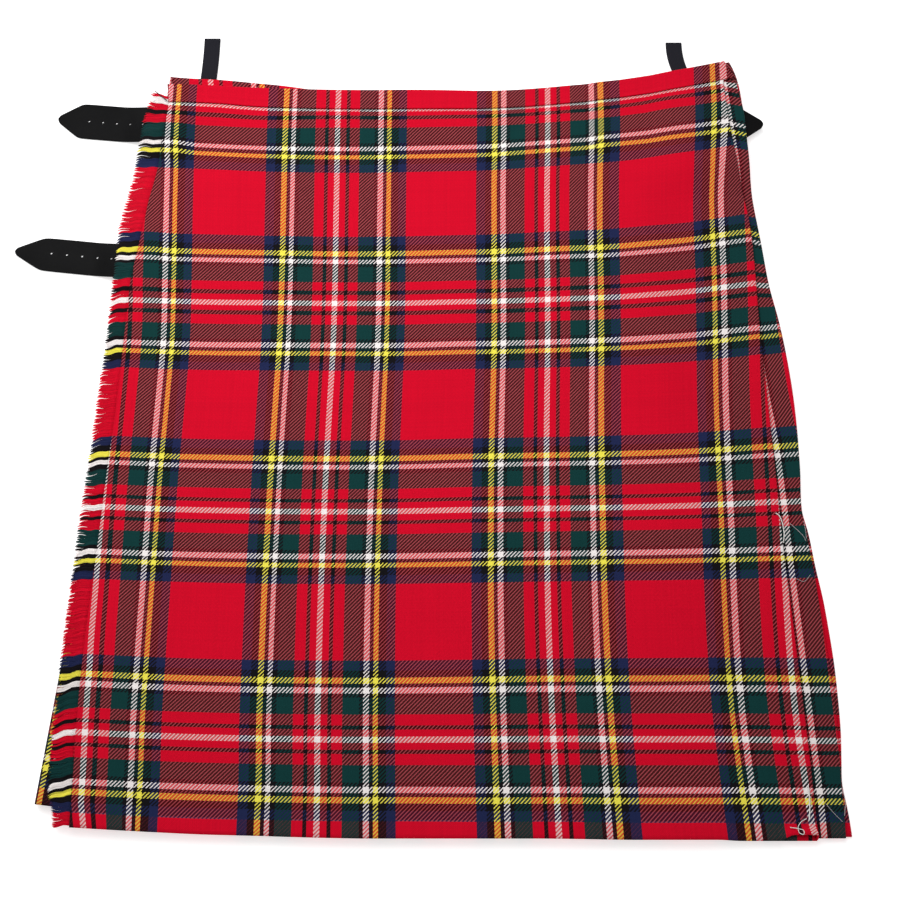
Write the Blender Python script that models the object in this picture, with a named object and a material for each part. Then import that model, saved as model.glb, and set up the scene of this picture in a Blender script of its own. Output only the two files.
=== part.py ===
"""A Scottish kilt laid flat on a table, front apron up and pleated back down.

Frame while modelling: millimetres, X across the kilt, Y from the hem to the waist, Z up.
A place on the kilt is given by x and by its level, the distance up the cloth from the hem.
Every cloth piece is a wall: a grid of centre points, moved half its thickness to each side.
The last step turns millimetres into metres and puts the origin under the middle of the kilt.
"""
import math

import bmesh
import bpy
import numpy as np

MM = 0.001

# --- cloth and stacking -------------------------------------------------------------------
WALL = 1.2                  # thickness of one layer of worsted twill
GAP = 0.3                   # air between two pieces
PITCH = WALL + GAP          # centre to centre of two layers that lie on each other
ROOM = 0.25                 # more air where the over apron lies on the under apron
FLOOR_LAYER = WALL / 2      # centre height of a layer that lies on the table
MITRE_LIMIT = 1.15          # how much a wall may be widened at a bend to keep its thickness
DROP = 611.0                # length of the kilt, hem to top
BAND = 17.0                 # height of the waistband
SEAM = DROP - BAND          # level of the waistband's seam
HEM_Y = -292.5              # y of the hem at the middle

# --- the sides of the cloth, by level -----------------------------------------------------
# level, weave edge of the over apron, fold of the over apron
APRON_SIDES = (
    (0, -275.8, 267.6),
    (70, -276.0, 265.0),
    (140, -275.4, 261.2),
    (213, -271.5, 257.0),
    (270, -269.0, 255.2),
    (330, -266.5, 252.8),
    (396, -262.8, 250.6),
    (430, -261.0, 250.2),
    (470, -256.5, 245.6),
    (500, -251.5, 242.4),
    (531, -245.6, 238.6),
    (564, -243.0, 234.8),
    (594, -242.2, 233.4),
    (611, -240.8, 236.0),
)
# level, outermost edge at the right, how far it stands out past the apron pleat
RIGHT_EDGE = (
    (0, 292.0, 3.8),
    (27, 290.3, 2.7),
    (38, 288.4, 1.5),
    (55, 289.2, 1.9),
    (75, 290.2, 3.2),
    (100, 290.4, 3.6),
    (127, 289.5, 5.0),
    (150, 287.4, 4.9),
    (170, 285.0, 4.5),
    (193, 280.6, 2.8),
    (221, 277.6, 2.4),
    (236, 273.8, 0.8),
    (268, 275.3, 0.8),
    (327, 274.0, 1.0),
    (355, 271.2, 1.2),
    (385, 267.0, 1.6),
    (414, 261.4, 1.0),
    (451, 257.2, 0.7),
    (488, 253.4, 0.7),
    (530, 251.3, 0.7),
    (568, 249.8, 0.7),
    (584, 248.4, 0.7),
    (594, 247.0, 0.7),
    (611, 239.5, 0.7),
)
BACK_LEFT_HEM = -304.5      # left side of the back and the under apron, a straight line
BACK_LEFT_TOP = -239.4

# --- knife pleats -------------------------------------------------------------------------
PLEATS = 22
PLEAT_DEPTH = 36.0          # cloth hidden behind each pleat
PLEAT_DEPTH_TOP = 4.0       # what is left of it where the pleats are cut away at the waist
CUT_AWAY = (480.0, 590.0)   # levels between which they are cut away
FLAT_SHARE = 0.72           # share of a pleat's face that lies flat on the table
PLEATS_RIGHT = (238.0, 196.0)    # right end of the pleats at the hem and at the top
PLEATS_LEFT = (-246.5, -181.0)   # left end
PLEAT_ROWS = (2.5, 300, 480, 540, SEAM - 3)
LAST_PLEAT_DEPTH = 10.0     # the last pleats before the left hip are shallower, by this step
LAST_PLEAT_STEP = 16.0

# --- room for the buckles under both hips -------------------------------------------------
HIP_LIFT = 4.3
TURN_UNDER = 30.0           # how far each fold's hidden side runs back
STRAP_ROOM = 2.6            # extra room between the folds at the right for the strap
UNDER_APRON_RIGHT = (168.0, 150.0)   # right edge at the hem and at the top

# --- fringe -------------------------------------------------------------------------------
LOCKS = 120
LOCK_WIDTH = 0.62           # share of a lock's pitch that it fills at its root
STRIP_WIDTH = 2.6
# level, length of the freed weft yarns
FRINGE_LENGTH = (
    (0, 14.0),
    (40, 15.5),
    (140, 15.0),
    (270, 13.0),
    (400, 14.0),
    (470, 16.5),
    (560, 15.5),
    (594, 9.5),
)

# --- straps, loops and buckles ------------------------------------------------------------
STRAP_THICK = 2.2
STRAP_FALL = 46.0           # run over which a strap comes down to the table
HOLES = 5
HOLE_RADIUS = 1.5
LEATHER_REST = 0.25         # air under a strap's tip
# tip x, tip y, root x, slope of the axis, width, length of the point, first hole, hole pitch
STRAPS = {
    "strap_waist": (-334.5, 296.8, -236.0, -0.090, 32.8, 20.5, 26.5, 11.9),
    "strap_hip": (-360.2, 174.5, -250.0, -0.105, 29.6, 24.5, 29.6, 12.8),
}
SIDE_STRAP = (265.4, 288.8, 136.0, 0.0, 31.6, 20.5, 26.5, 12.2)
TAPE_WIDTH = 12.9
TAPE_THICK = 0.8
BUCKLE_LENGTH = 22.0        # along the strap
BUCKLE_WIDTH = 39.0
BUCKLE_WIRE = 2.0
BUCKLE_CENTRE = 2.15        # height of the frames' wire above the table
BAR_PLAY = 0.2              # air between the bar and what is curled round it
PRONG_THICK = 0.8
PRONG_WIDTH = 3.0
TAB_WIDTH = 27.0
TAB_LENGTH = 12.0
TAB_WALL = 0.8
# outer end of the frame x, centre y, direction from the frame to its tab
BUCKLES = {
    "waist": (-240.3, 286.0, 1),
    "hip": (-253.0, 171.0, 1),
    "under_apron": (249.0, 290.0, -1),
}

# name: colour (linear), roughness, metallic
FINISHES = {
    "red_tartan": ((0.45, 0.02, 0.03), 0.85, 0.0),
    "fringe_wool": ((0.40, 0.02, 0.03), 0.9, 0.0),
    "black_leather": ((0.013, 0.013, 0.013), 0.5, 0.0),
    "black_tape": ((0.017, 0.018, 0.023), 0.8, 0.0),
    "nickel": ((0.62, 0.60, 0.56), 0.28, 1.0),
}


# --- curves and tables --------------------------------------------------------------------
def smooth(start, end, value):
    """0 before start, 1 after end, and a soft S between them (end may be below start)."""
    share = np.clip((np.asarray(value, float) - start) / (end - start), 0.0, 1.0)
    return share * share * (3 - 2 * share)


def column(table, index, level):
    """One column of a table, read at a level on a soft curve through its rows."""
    rows = np.array(table, float)
    stations, values = rows[:, 0], rows[:, index]
    slopes = np.gradient(values, stations)
    level = np.clip(np.asarray(level, float), stations[0], stations[-1])
    row = np.clip(np.searchsorted(stations, level, side="right") - 1, 0, len(stations) - 2)
    span = stations[row + 1] - stations[row]
    share = (level - stations[row]) / span
    keep, reach = smooth(0, 1, 1 - share), smooth(0, 1, share)
    lead = share * (1 - share) ** 2 * span * slopes[row]
    trail = share ** 2 * (share - 1) * span * slopes[row + 1]
    return keep * values[row] + reach * values[row + 1] + lead + trail


def between(ends, level):
    """A value that runs straight from the hem's to the top's."""
    return ends[0] + (ends[1] - ends[0]) * np.asarray(level, float) / DROP


def y_of(x, level):
    """The cloth's rows bow: they rise towards both sides, most of all at the right of the waist."""
    x, level = np.asarray(x, float), np.asarray(level, float)
    high = np.clip((level - 70) / 522, 0, None) ** 1.2
    right = 25 * high * (np.clip(x - 20, 0, None) / 202) ** 1.7
    left = (2.5 + 5 * (2 * level / DROP - 1) ** 2) * (np.clip(-x - 60, 0, None) / 200) ** 1.5
    return HEM_Y + level + right + left


def back_rise(x, level):
    """The back and the under apron lie a little turned: their left side sits higher."""
    reach = np.clip(-np.asarray(x, float) - 60, 0, None)
    span = between((242.0, 180.0), level)
    return 12 * (reach / span) ** 1.3


def back_level(x, level):
    return level + back_rise(x, level)


def weave_edge(level):
    return column(APRON_SIDES, 1, level)


def apron_fold(level):
    return column(APRON_SIDES, 2, level)


def outer_fold(level):
    return column(RIGHT_EDGE, 1, level)


def pleat_fold(level):
    return outer_fold(level) - column(RIGHT_EDGE, 2, level)


def back_left(level):
    return between((BACK_LEFT_HEM, BACK_LEFT_TOP), level)


# --- heights of the layers ----------------------------------------------------------------
def pleat_reveal(level):
    return (between(PLEATS_RIGHT, level) - between(PLEATS_LEFT, level)) / PLEATS


def pleat_depth(level):
    return PLEAT_DEPTH + (PLEAT_DEPTH_TOP - PLEAT_DEPTH) * smooth(*CUT_AWAY, level)


def stack_top(level):
    """Top of the pleats, where each hidden run has climbed two layers for each pleat it passes."""
    return WALL + 2 * PITCH * (1 + pleat_depth(level) / pleat_reveal(level))


def left_lift(level):
    return HIP_LIFT * smooth(372, 412, level)


def right_lift(level):
    return HIP_LIFT * smooth(486, 526, level)


def strap_room(level):
    return STRAP_ROOM * smooth(490, 526, level) * (1 - smooth(584, 597, level))


def under_height(x, level):
    """Centre of the under apron: on the pleats, and at the left on the lifted hip strip."""
    base = stack_top(level) + GAP + WALL / 2
    need = FLOOR_LAYER + left_lift(level) + PITCH + 2 * PITCH * smooth(560, 590, level)
    inward = x - back_left(level)
    return base + (1 - smooth(36, 84, inward)) * np.clip(need - base, 0, None)


def under_here(x, level):
    """Centre of the under apron beneath a place on the over apron."""
    return under_height(x, level - back_rise(x, level))


def over_edge_height(level):
    """Centre of the over apron at its fold, on the five layers of the folds beneath it."""
    return FLOOR_LAYER + 5 * PITCH + right_lift(level) + strap_room(level)


def strap_axis_y(strap, x):
    tip_x, tip_y, _, slope = strap[:4]
    return tip_y + slope * (x - tip_x)


def strap_height(strap, x):
    """Centre height of a left strap: on the under apron, then down to the table."""
    tip_y, root_x = strap[1:3]
    level = float(tip_y - HEM_Y) - 6
    edge = float(back_left(level))
    root = float(under_height(root_x, level)) + WALL / 2 + 2 * GAP + STRAP_THICK / 2
    rest = STRAP_THICK / 2 + LEATHER_REST
    return root + (rest - root) * smooth(edge - 2, edge - 2 - STRAP_FALL, x)


def side_strap_height(x):
    """The side strap: on the under apron, then out between the folds at the right hip."""
    level = 556.0
    root = float(under_height(140.0, level)) + WALL / 2 + 2 * GAP + STRAP_THICK / 2
    out = FLOOR_LAYER + float(right_lift(level)) + PITCH + WALL / 2 + GAP + STRAP_THICK / 2
    return root + (out - root) * smooth(162, 214, x)


def strap_bump(x, level, strap, height, side, base):
    """How far a strap that is sewn below lifts a layer of the given height."""
    need = height + STRAP_THICK / 2 + GAP + WALL / 2 + 0.1
    across = np.abs(y_of(x, level) - strap_axis_y(strap, x))
    half_width = strap[4] / 2
    cover = smooth(half_width + 24, half_width + 10, across)
    return np.clip(need - base, 0, None) * cover * smooth(-24, -4, (x - strap[2]) * side)


def over_height(x, level):
    """Centre of the over apron: on the layers below, lifted by the straps and the side folds."""
    flat = under_here(x, level) + PITCH + ROOM + (PITCH + GAP) * smooth(556, 590, level)
    ripple = 0.45 * (1 + np.sin(x / 41 + level / 160)) * np.sin(np.pi * level / DROP) ** 2
    flat = flat + ripple * (1 - smooth(470, 560, level))
    fold = apron_fold(level)
    base = flat + smooth(fold - 92, fold - 38, x) * (over_edge_height(level) - flat)
    for strap in STRAPS.values():
        base = base + strap_bump(x, level, strap, strap_height(strap, x), -1, base)
    return base + strap_bump(x, level, SIDE_STRAP, side_strap_height(x), 1, base)


# --- building -----------------------------------------------------------------------------
def clear_scene():
    for thing in list(bpy.data.objects):
        bpy.data.objects.remove(thing, do_unlink=True)


def finish_material(finish):
    material = bpy.data.materials.get(finish)
    if material:
        return material
    colour, roughness, metallic = FINISHES[finish]
    material = bpy.data.materials.new(finish)
    material.use_nodes = True
    shader = material.node_tree.nodes["Principled BSDF"]
    shader.inputs["Base Color"].default_value = (*colour, 1)
    shader.inputs["Roughness"].default_value = roughness
    shader.inputs["Metallic"].default_value = metallic
    return material


def add_piece(name, points, faces, finish):
    """A named object from points in millimetres, with its faces pointing out."""
    mesh = bpy.data.meshes.new(name)
    mesh.from_pydata((np.asarray(points) * MM).tolist(), [], faces)
    shell = bmesh.new()
    shell.from_mesh(mesh)
    bmesh.ops.recalc_face_normals(shell, faces=shell.faces)
    shell.to_mesh(mesh)
    shell.free()
    mesh.shade_smooth()
    mesh.set_sharp_from_angle(angle=math.radians(35))
    piece = bpy.data.objects.new(name, mesh)
    piece.data.materials.append(finish_material(finish))
    bpy.context.scene.collection.objects.link(piece)
    return piece


def unit(vectors):
    return vectors / np.linalg.norm(vectors, axis=-1, keepdims=True)


def along_axis(grid, axis):
    """Mean direction of the grid's two segments at each point, and that of the second one."""
    steps = unit(np.diff(grid, axis=axis))
    first = np.take(steps, [0], axis=axis)
    last = np.take(steps, [-1], axis=axis)
    before = np.concatenate([first, steps], axis=axis)
    after = np.concatenate([steps, last], axis=axis)
    return unit(before + after), after


def wall_piece(name, centre, finish, thickness=WALL):
    """A closed wall round a grid of centre points (rows, columns, xyz)."""
    centre = np.asarray(centre, float)
    rows, columns = centre.shape[:2]
    down, down_after = along_axis(centre, 0)
    across, across_after = along_axis(centre, 1)
    normal = unit(np.cross(down, across))
    bend = (normal * unit(np.cross(down_after, across))).sum(-1, keepdims=True)
    bend = bend * (normal * unit(np.cross(down, across_after))).sum(-1, keepdims=True)
    offset = normal * thickness / 2 / np.clip(bend, 1 / MITRE_LIMIT, 1)
    points = np.concatenate([centre + offset, centre - offset])
    points = points.reshape(-1, 3)
    number = np.arange(2 * rows * columns).reshape(2, rows, columns)
    top, under = number
    faces = []
    for side in (top, under[:, ::-1]):
        quads = np.stack([side[:-1, :-1], side[:-1, 1:], side[1:, 1:], side[1:, :-1]], -1)
        faces += quads.reshape(-1, 4).tolist()
    rim = [*top[0, :-1], *top[:-1, -1], *top[-1, :0:-1], *top[:0:-1, 0]]
    low = [*under[0, :-1], *under[:-1, -1], *under[-1, :0:-1], *under[:0:-1, 0]]
    for here, after, low_here, low_after in zip(rim, rim[1:] + rim[:1], low, low[1:] + low[:1]):
        faces.append([int(after), int(here), int(low_here), int(low_after)])
    return add_piece(name, points, faces, finish)


def hairpin(edge, high, low, out=1):
    """Three centre points of a fold whose outermost side is at edge: (x, z) from high to low."""
    half = (high - low) / 2
    tip = edge - out * WALL / 2
    return [(tip - out * half, high), (tip, (high + low) / 2), (tip - out * half, low)]


def cloth_rows(levels, section, level_of=None):
    """Grid whose rows are sections (x, z) of the cloth at the given levels."""
    rows = []
    for level in levels:
        flat = np.array(section(level), float)
        true_level = level_of(flat[:, 0], level) if level_of else level
        rows.append(np.stack([flat[:, 0], y_of(flat[:, 0], true_level), flat[:, 1]], -1))
    return np.array(rows)


# --- aprons and folds ---------------------------------------------------------------------
OVER_ROWS = (0, 35, 70, 140, 213, 270, 330, 385, 412, 424, 436, 456, 476, 488, 508, 526,
             541, 556, 570, 584, SEAM)
OVER_FROM_LEFT = (0, 7, 15, 24, 34, 48, 70, 105, 145, 185, 225, 265, 305, 345)
OVER_FROM_FOLD = (118, 96, 84, 72, 60, 49, 38, 26, 14, 5)


def over_apron_section(level):
    left, fold = weave_edge(level), apron_fold(level)
    spots = [left + step for step in OVER_FROM_LEFT] + [fold - step for step in OVER_FROM_FOLD]
    top = [(x, float(over_height(x, level))) for x in spots]
    edge = float(over_edge_height(level))
    under = edge - PITCH
    return top + hairpin(fold, edge, under) + [(fold - TURN_UNDER, under)]


def apron_pleat_section(level):
    fold = pleat_fold(level)
    high = float(over_edge_height(level)) - 2 * PITCH
    inner = apron_fold(level) - TURN_UNDER
    return [(inner, high)] + hairpin(fold, high, high - PITCH) + [
        (fold - TURN_UNDER, high - PITCH)]


def hip_fold_section(level):
    fold = outer_fold(level)
    low = FLOOR_LAYER + float(right_lift(level))
    start = between(PLEATS_RIGHT, level)
    return [(fold - TURN_UNDER, low + PITCH)] + hairpin(fold, low + PITCH, low) + [
        (start + 12, low), (start + 3, FLOOR_LAYER), (start + GAP, FLOOR_LAYER)]


def pleats_section(level):
    """Pleats from right to left: a flat face, a step up, a climbing run, and the run back."""
    reveal = pleat_reveal(level)
    climb = 2 * PITCH / reveal
    turn = PITCH / 2
    section = []
    for pleat in range(PLEATS):
        shallow = LAST_PLEAT_DEPTH + LAST_PLEAT_STEP * (PLEATS - 1 - pleat)
        depth = min(float(pleat_depth(level)), shallow)
        start = between(PLEATS_RIGHT, level) - pleat * reveal
        tangent = WALL / 2 + turn
        far = reveal + depth
        run_end = 2 * PITCH + climb * (depth - turn)
        steps = [
            (tangent, 0),
            (FLAT_SHARE * reveal, 0),
            (reveal, 2 * PITCH),
            (far - turn, run_end),
            (far - turn, run_end - PITCH),
            (reveal + tangent, PITCH + climb * tangent),
            (reveal + WALL / 2, turn),
        ]
        if pleat == 0:
            steps[0] = (0, 0)
        section += [(start - along, FLOOR_LAYER + up) for along, up in steps]
    end = between(PLEATS_LEFT, level)
    section += [(end - WALL / 2 - turn, FLOOR_LAYER), (end - 6, FLOOR_LAYER)]
    return section


UNDER_ROWS = (2.5, 60, 200, 350, 385, 412, 440, 480, 520, 550, 575, SEAM - 3)
UNDER_FROM_LEFT = (14, 36, 50, 66, 84, 120)


def under_apron_section(level):
    """From the pleats along the hip strip to the left fold, and back over the top."""
    left = float(back_left(level))
    start = float(between(PLEATS_LEFT, level)) - 6 - GAP
    low = FLOOR_LAYER + float(left_lift(level))
    edge_high = float(under_height(left, level))
    strip = [(start, FLOOR_LAYER), (start - 5, FLOOR_LAYER), (start - 14, low)]
    half = min((edge_high - low) / 2, 6.0)
    middle = (edge_high + low) / 2
    fold = [(left + WALL / 2 + half * (1 - math.sin(turn)), middle - (middle - low) * math.cos(turn))
            for turn in np.radians((0, 45, 90, 135, 180))]
    top = [(left + step, float(under_height(left + step, level))) for step in UNDER_FROM_LEFT]
    right = float(between(UNDER_APRON_RIGHT, level))
    ends = [(x, float(under_height(x, level))) for x in np.linspace(left + 160, right, 8)]
    return strip + fold + top + ends


# --- waistbands ---------------------------------------------------------------------------
def band_piece(name, left, right, top_level, height, level_of, folded_below=True):
    """A strip doubled over its top edge: visible side, fold, hidden side."""
    seam = top_level - BAND + GAP
    drop = -PITCH if folded_below else PITCH
    half = PITCH / 2
    spots = [
        (seam, 0.0),
        (top_level - 7, 0.0),
        (top_level - WALL / 2 - half, 0.0),
        (top_level - WALL / 2, drop / 2),
        (top_level - WALL / 2 - half, drop),
        (seam, drop),
    ]
    rows = []
    for level, rise in spots:
        x = left(level) + (right(level) - left(level)) * BAND_STATIONS
        true_level = level_of(x, level)
        rows.append(np.stack([x, y_of(x, true_level), height(x, level) + rise], -1))
    return wall_piece(name, np.array(rows), "red_tartan")


BAND_STATIONS = np.array([0, 0.03, 0.07, 0.11, 0.16, 0.22, 0.3, 0.4, 0.5, 0.6, 0.68, 0.76,
                          0.82, 0.87, 0.91, 0.95, 0.98, 1])


def front_band_height(x, level):
    return over_height(x, np.minimum(level, SEAM))


def under_band_height(x, level):
    return under_height(x, np.minimum(level, SEAM - 3))


def back_band_height(x, level):
    at = min(level, SEAM - 3)
    left = left_lift(at) * (1 - smooth(26, 56, x - back_left(at)))
    right = right_lift(at) * smooth(-44, -28, x - outer_fold(at))
    return FLOOR_LAYER + left + right


def make_waistbands():
    def same(_, level):
        return level
    band_piece("over_apron_waistband", weave_edge,
               lambda level: outer_fold(level) - 2.0 - 3.0 * float(smooth(DROP - 7, DROP, level)),
               DROP, front_band_height, same)
    back_top = DROP - 3
    band_piece("under_apron_waistband", lambda level: back_left(level) + 0.3,
               lambda level: float(between(UNDER_APRON_RIGHT, level)), back_top,
               under_band_height, back_level)
    band_piece("back_waistband", lambda level: back_left(level) + 0.3,
               lambda level: outer_fold(level) - 0.5, back_top,
               back_band_height, back_level, folded_below=False)


# --- fringe -------------------------------------------------------------------------------
def support(x, y, level):
    """Top of whatever lies under a fringe lock: the under apron, a strap or the table."""
    edge = back_left(y - HEM_Y - 6)
    under = under_here(np.maximum(x, edge + 2), level) + WALL / 2
    top = np.where(x > edge - 5, under, 0.0)
    for strap in STRAPS.values():
        near = np.abs(y - strap_axis_y(strap, x)) < strap[4] / 2 + 3
        top = np.where(near, np.maximum(top, strap_height(strap, x) + STRAP_THICK / 2), top)
    return top


def make_fringe():
    """A narrow strip beside the weave edge, with a tapered four-sided lock from each station."""
    rng = np.random.default_rng(7)
    bottom, top = 1.0, SEAM - 4
    pitch = (top - bottom) / LOCKS
    half = WALL / 2
    points, faces = [], []

    def ring(level, x, z, half_thick):
        y = float(y_of(x, level))
        points.extend([(x, y, z - half_thick), (x, y, z + half_thick)])
        return len(points) - 2

    stations = []
    for lock in range(LOCKS):
        start = bottom + pitch * (lock + (1 - LOCK_WIDTH) / 2)
        stations += [start, start + pitch * LOCK_WIDTH]
    inner, outer = [], []
    for level in stations:
        edge = float(weave_edge(level))
        z = float(over_height(edge, level))
        inner.append(ring(level, edge - GAP, z, half))
        outer.append(ring(level, edge - GAP - STRIP_WIDTH, z, half))
    last = len(stations) - 1
    for here in range(last):
        near, far, near_next, far_next = inner[here], outer[here], inner[here + 1], outer[here + 1]
        faces.append([near + 1, near_next + 1, far_next + 1, far + 1])
        faces.append([near, far, far_next, near_next])
        faces.append([near, near_next, near_next + 1, near + 1])
        if here % 2:
            faces.append([far, far + 1, far_next + 1, far_next])
    faces.append([inner[0], inner[0] + 1, outer[0] + 1, outer[0]])
    faces.append([inner[last], outer[last], outer[last] + 1, inner[last] + 1])
    for lock in range(LOCKS):
        roots = outer[2 * lock], outer[2 * lock + 1]
        level = (stations[2 * lock] + stations[2 * lock + 1]) / 2
        root_x = float(weave_edge(level)) - GAP - STRIP_WIDTH
        root_z = float(over_height(root_x + STRIP_WIDTH, level))
        length = float(column(FRINGE_LENGTH, 1, level)) * rng.uniform(0.86, 1.04)
        sway = rng.uniform(-0.05, 0.05)
        before = roots
        for share, width, thick in ((0.5, 0.9, 0.5), (1.0, 0.5, 0.3)):
            x = root_x - length * share
            middle = float(y_of(root_x, level)) + sway * length * share
            free = root_z - 0.012 * (length * share) ** 2
            z = max(free, float(support(x, middle, level)) + GAP + thick)
            spread = pitch * LOCK_WIDTH / 2 * width
            first = len(points)
            for side in (-1, 1):
                points.extend([(x, middle + side * spread, z - thick),
                               (x, middle + side * spread, z + thick)])
            now = first, first + 2
            faces.append([before[0] + 1, before[1] + 1, now[1] + 1, now[0] + 1])
            faces.append([before[0], now[0], now[1], before[1]])
            faces.append([before[0], before[0] + 1, now[0] + 1, now[0]])
            faces.append([before[1], now[1], now[1] + 1, before[1] + 1])
            before = now
        faces.append([before[0], before[0] + 1, before[1] + 1, before[1]])
    return add_piece("apron_fringe", points, faces, "fringe_wool")


# --- straps and loops ---------------------------------------------------------------------
def cut(piece, cutter_points, cutter_faces, name):
    """Take a shape away from a piece with a Boolean that stays on it."""
    cutter = add_piece(name, cutter_points, cutter_faces, "black_leather")
    cutter.hide_render = True
    cutter.display_type = "WIRE"
    modifier = piece.modifiers.new("cut", "BOOLEAN")
    modifier.operation = "DIFFERENCE"
    modifier.object = cutter


def cylinder(x, y, z, radius, reach, sides=10):
    """Points and faces of an upright cylinder round (x, y, z)."""
    turn = np.arange(sides) * 2 * math.pi / sides
    ring = np.stack([x + radius * np.cos(turn), y + radius * np.sin(turn)], -1)
    points = [(px, py, z + side * reach) for side in (-1, 1) for px, py in ring]
    faces = [[i, (i + 1) % sides, sides + (i + 1) % sides, sides + i] for i in range(sides)]
    faces += [list(range(sides - 1, -1, -1)), list(range(sides, 2 * sides))]
    return points, faces


def make_strap(name, strap, height, side):
    """A leather strap along its axis, its outer end cut to a blunt point, with punched holes."""
    tip_x, tip_y, root_x, slope, width, point, first_hole, hole_pitch = strap
    length = abs(tip_x - root_x)
    from_tip = np.concatenate([[0, 1.2, 4], [point - 3, point, point + 4],
                               np.linspace(point + 12, length, 9)])
    half_width = np.interp(from_tip, [0, 1.2, point - 3, point + 1, point + 4],
                           [1.6, 3.0, width / 2 - 1.9, width / 2 - 0.5, width / 2])
    x = tip_x - side * from_tip
    z = np.array([float(height(spot)) for spot in x])
    across = np.array([-1, -0.5, 0, 0.5, 1])
    angle = math.atan(slope)
    offset = half_width[:, None] * across[None]
    centre = np.stack([
        x[:, None] - offset * math.sin(angle),
        tip_y + slope * (x - tip_x)[:, None] + offset * math.cos(angle),
        np.repeat(z[:, None], len(across), 1),
    ], -1)
    piece = wall_piece(name, centre, "black_leather", STRAP_THICK)
    points, faces = [], []
    for hole in range(HOLES):
        hole_x = tip_x - side * (first_hole + hole * hole_pitch)
        hole_y = tip_y + slope * (hole_x - tip_x)
        more, sides = cylinder(hole_x, hole_y, float(height(hole_x)), HOLE_RADIUS, 4)
        faces += [[corner + len(points) for corner in face] for face in sides]
        points += more
    cut(piece, points, faces, name + "_punch")
    return piece


def make_loop(name, x, foot_y, top_y, lean, foot_z):
    """A tape doubled over at its top; the foot leans to one side and rises to the waistband."""
    share = np.array([0, 0.2, 0.45, 0.75, 1])
    pitch = TAPE_THICK + GAP
    rest = TAPE_THICK / 2 + GAP
    tip_y = top_y - TAPE_THICK / 2
    y = foot_y + (tip_y - pitch / 2 - foot_y) * share
    z = rest + (foot_z - rest) * (1 - smooth(0, 0.9, share))
    shift = lean * (1 - share) ** 2.4
    legs = [(shift[i], y[i], z[i] + pitch) for i in range(len(share))]
    legs.append((0, tip_y, rest + pitch / 2))
    legs += [(shift[i], y[i], z[i]) for i in range(len(share) - 1, -1, -1)]
    across = np.array([-1, 0, 1]) * TAPE_WIDTH / 2
    centre = [[(x + move + side, spot, height) for side in across] for move, spot, height in legs]
    return wall_piece(name, np.array(centre), "black_tape", TAPE_THICK)


# --- buckles ------------------------------------------------------------------------------
def make_buckle(name, outer_x, centre_y, inward):
    """A rectangular frame with soft corners, a prong round its bar and a leather tab."""
    wire = BUCKLE_WIRE / 2
    radius = 5.0
    long_half = BUCKLE_LENGTH / 2 - wire
    wide_half = BUCKLE_WIDTH / 2 - wire
    middle_x = outer_x + inward * BUCKLE_LENGTH / 2
    z = BUCKLE_CENTRE
    path = []
    for corner, (sx, sy) in enumerate(((1, 1), (-1, 1), (-1, -1), (1, -1))):
        for turn in np.radians(np.array([0, 45, 90]) + 90 * corner):
            path.append((middle_x + sx * (long_half - radius) + radius * math.cos(turn),
                         centre_y + sy * (wide_half - radius) + radius * math.sin(turn)))
    path = np.array(path)
    step = np.roll(path, -1, 0) - np.roll(path, 1, 0)
    side_way = unit(np.stack([step[:, 1], -step[:, 0]], -1))
    sides = 8
    turn = (np.arange(sides) + 0.5) * 2 * math.pi / sides
    flat = 0.75
    ring = np.stack([np.cos(turn) * wire, np.sin(turn) * wire * flat], -1)
    points = [(px + sx * out, py + sy * out, z + up)
              for (px, py), (sx, sy) in zip(path, side_way) for out, up in ring]
    count = len(path)
    faces = [[i * sides + j, ((i + 1) % count) * sides + j,
              ((i + 1) % count) * sides + (j + 1) % sides, i * sides + (j + 1) % sides]
             for i in range(count) for j in range(sides)]
    add_piece("buckle_" + name, points, faces, "nickel")

    bar_x = middle_x + inward * long_half
    tip_x = middle_x - inward * long_half
    curl = wire + BAR_PLAY + PRONG_THICK / 2
    prong_path = [(tip_x - inward * 0.6, z - wire * flat - BAR_PLAY - PRONG_THICK / 2),
                  (middle_x, z - wire * flat - BAR_PLAY - PRONG_THICK / 2)]
    prong_path += [(bar_x - inward * curl * math.cos(turn), z - curl * math.sin(turn))
                   for turn in np.radians((60, 110, 160, 210, 260, 300))]
    half_width = np.linspace(PRONG_WIDTH / 2 - 0.4, PRONG_WIDTH / 2, len(prong_path))
    centre = [[(px, centre_y + side * width, pz) for side in (-1, 1)]
              for (px, pz), width in zip(prong_path, half_width)]
    wall_piece("prong_" + name, np.array(centre), "nickel", PRONG_THICK)

    tab_curl = wire + BAR_PLAY + TAB_WALL / 2
    tab_path = [(bar_x + inward * TAB_LENGTH, z + tab_curl)]
    tab_path += [(bar_x - inward * tab_curl * math.cos(turn), z + tab_curl * math.sin(turn))
                 for turn in np.radians((90, 45, 0, -45, -90))]
    tab_path.append((bar_x + inward * TAB_LENGTH / 2, z - tab_curl))
    across = np.array([-1, 1]) * TAB_WIDTH / 2
    centre = [[(px, centre_y + side, pz) for side in across] for px, pz in tab_path]
    tab = wall_piece("buckle_tab_" + name, np.array(centre), "black_leather", TAB_WALL)
    reach = PRONG_WIDTH / 2 + 1.0
    box = [(bar_x + inward * a, centre_y + b * reach, z + c * 4.0)
           for a in (-6.0, 3.6) for b in (-1, 1) for c in (-1, 1)]
    box_faces = [[0, 1, 3, 2], [4, 6, 7, 5], [0, 4, 5, 1], [2, 3, 7, 6], [0, 2, 6, 4], [1, 5, 7, 3]]
    cut(tab, box, box_faces, "buckle_tab_" + name + "_slot")


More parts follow.
